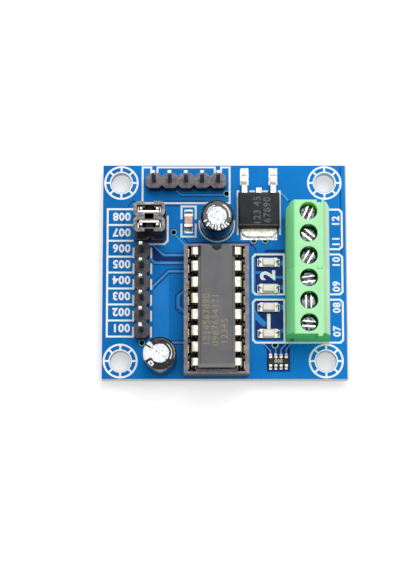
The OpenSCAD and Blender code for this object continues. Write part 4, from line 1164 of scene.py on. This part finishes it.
@dataclass
class Studio:
    """A pale floor, soft studio light and the camera that took the photograph's view."""

    floor_z: float = -1.402
    aim: Corner = (-3.654, -2.206, 1.6)
    distance: float = 312.07
    tilt: float = 10.09
    lens: float = 124.51
    sensor: float = 36.0
    key_power: float = 0.86
    key_place: Corner = (75.0, 165.0, 395.0)
    key_size: float = 260.0
    fill: float = 0.65
    paper: str = "#DADADA"
    paper_size: float = 4000.0
    paper_lift: float = 0.45

    def build(self) -> None:
        """Sets the stage."""
        self.build_floor()
        self.build_world()
        self.build_key()
        self.build_camera()
        bpy.context.scene.view_settings.view_transform = "Standard"

    def seen_directly(self, tree: NodeTree) -> NodeSocket:
        """Adds a value that is 1 for camera, glossy and transmission rays, and else 0."""
        rays = add_node(tree, "LightPath")
        some = add_node(
            tree, "Math", {0: rays.outputs["Is Camera Ray"], 1: rays.outputs["Is Glossy Ray"]},
            operation="MAXIMUM",
        )
        any_ray = add_node(
            tree, "Math", {0: some.outputs[0], 1: rays.outputs["Is Transmission Ray"]}, operation="MAXIMUM"
        )
        return any_ray.outputs[0]

    def build_floor(self) -> None:
        """Lays a pale matt floor that reads as white wherever no shadow falls."""
        bpy.ops.object.select_all(action="DESELECT")
        bpy.ops.mesh.primitive_plane_add(size=self.paper_size * MM, location=(0, 0, self.floor_z * MM))
        floor = settle(bpy.context.object, "studio_floor")
        made = bpy.data.materials.new("pale_floor_paper")
        made.use_nodes = True
        tree = made.node_tree
        tree.nodes.clear()
        paper = add_node(tree, "BsdfDiffuse", {"Color": linear(self.paper)})
        lift = add_node(tree, "Math", {0: self.seen_directly(tree), 1: self.paper_lift}, operation="MULTIPLY")
        glow = add_node(tree, "Emission", {"Strength": lift.outputs[0]})
        both = add_node(tree, "AddShader", {0: paper.outputs[0], 1: glow.outputs[0]})
        add_node(tree, "OutputMaterial", {"Surface": both.outputs[0]})
        floor.data.materials.append(made)

    def build_world(self) -> None:
        """Gives an even white surround, full white where it is seen directly."""
        world = bpy.data.worlds.new("studio_surround")
        bpy.context.scene.world = world
        world.use_nodes = True
        tree = world.node_tree
        tree.nodes.clear()
        strength = add_node(
            tree, "Math", {0: self.seen_directly(tree), 1: 1 - self.fill, 2: self.fill},
            operation="MULTIPLY_ADD",
        )
        surround = add_node(tree, "Background", {"Color": (1, 1, 1, 1), "Strength": strength.outputs[0]})
        add_node(tree, "OutputWorld", {"Surface": surround.outputs[0]})

    def build_key(self) -> None:
        """Hangs one large soft lamp above the north-east corner."""
        lamp = bpy.data.lights.new("key_softbox", "AREA")
        lamp.energy = self.key_power
        lamp.size = self.key_size * MM
        obj = bpy.data.objects.new("key_softbox", lamp)
        bpy.context.scene.collection.objects.link(obj)
        place = Vector(self.key_place) * MM
        obj.location = place
        obj.rotation_euler = (-place).to_track_quat("-Z", "Y").to_euler()

    def build_camera(self) -> None:
        """Stands the camera where the photograph was taken from."""
        camera = bpy.data.cameras.new("photograph_view")
        camera.lens = self.lens
        camera.sensor_width = self.sensor
        camera.clip_start = 0.01
        camera.clip_end = 20
        obj = bpy.data.objects.new("photograph_view", camera)
        bpy.context.scene.collection.objects.link(obj)
        tilt = math.radians(self.tilt)
        back = Vector((0, -math.sin(tilt), math.cos(tilt)))
        obj.location = (Vector(self.aim) + back * self.distance) * MM
        obj.rotation_euler = (tilt, 0, 0)
        bpy.context.scene.camera = obj


def main() -> None:
    """Builds every piece in order."""
    logging.basicConfig(level=logging.INFO, format="%(message)s")
    Studio().build()
    assemblies = [
        PrintedBoard(),
        PrintedLegend(),
        SocketedChip(),
        ScrewTerminal(),
        PinHeader("input_header"),
        PinHeader("enable_header"),
        PinHeader("supply_header", bloom="#8B868E"),
        JumperCap(1),
        JumperCap(2),
        CanCapacitor(1, FIRST_PRINT),
        CanCapacitor(2, SECOND_PRINT),
        SurfaceParts(),
    ]
    for assembly in assemblies:
        assembly.build()
        log.info("built %s", type(assembly).__name__)


if __name__ == "__main__":
    main()
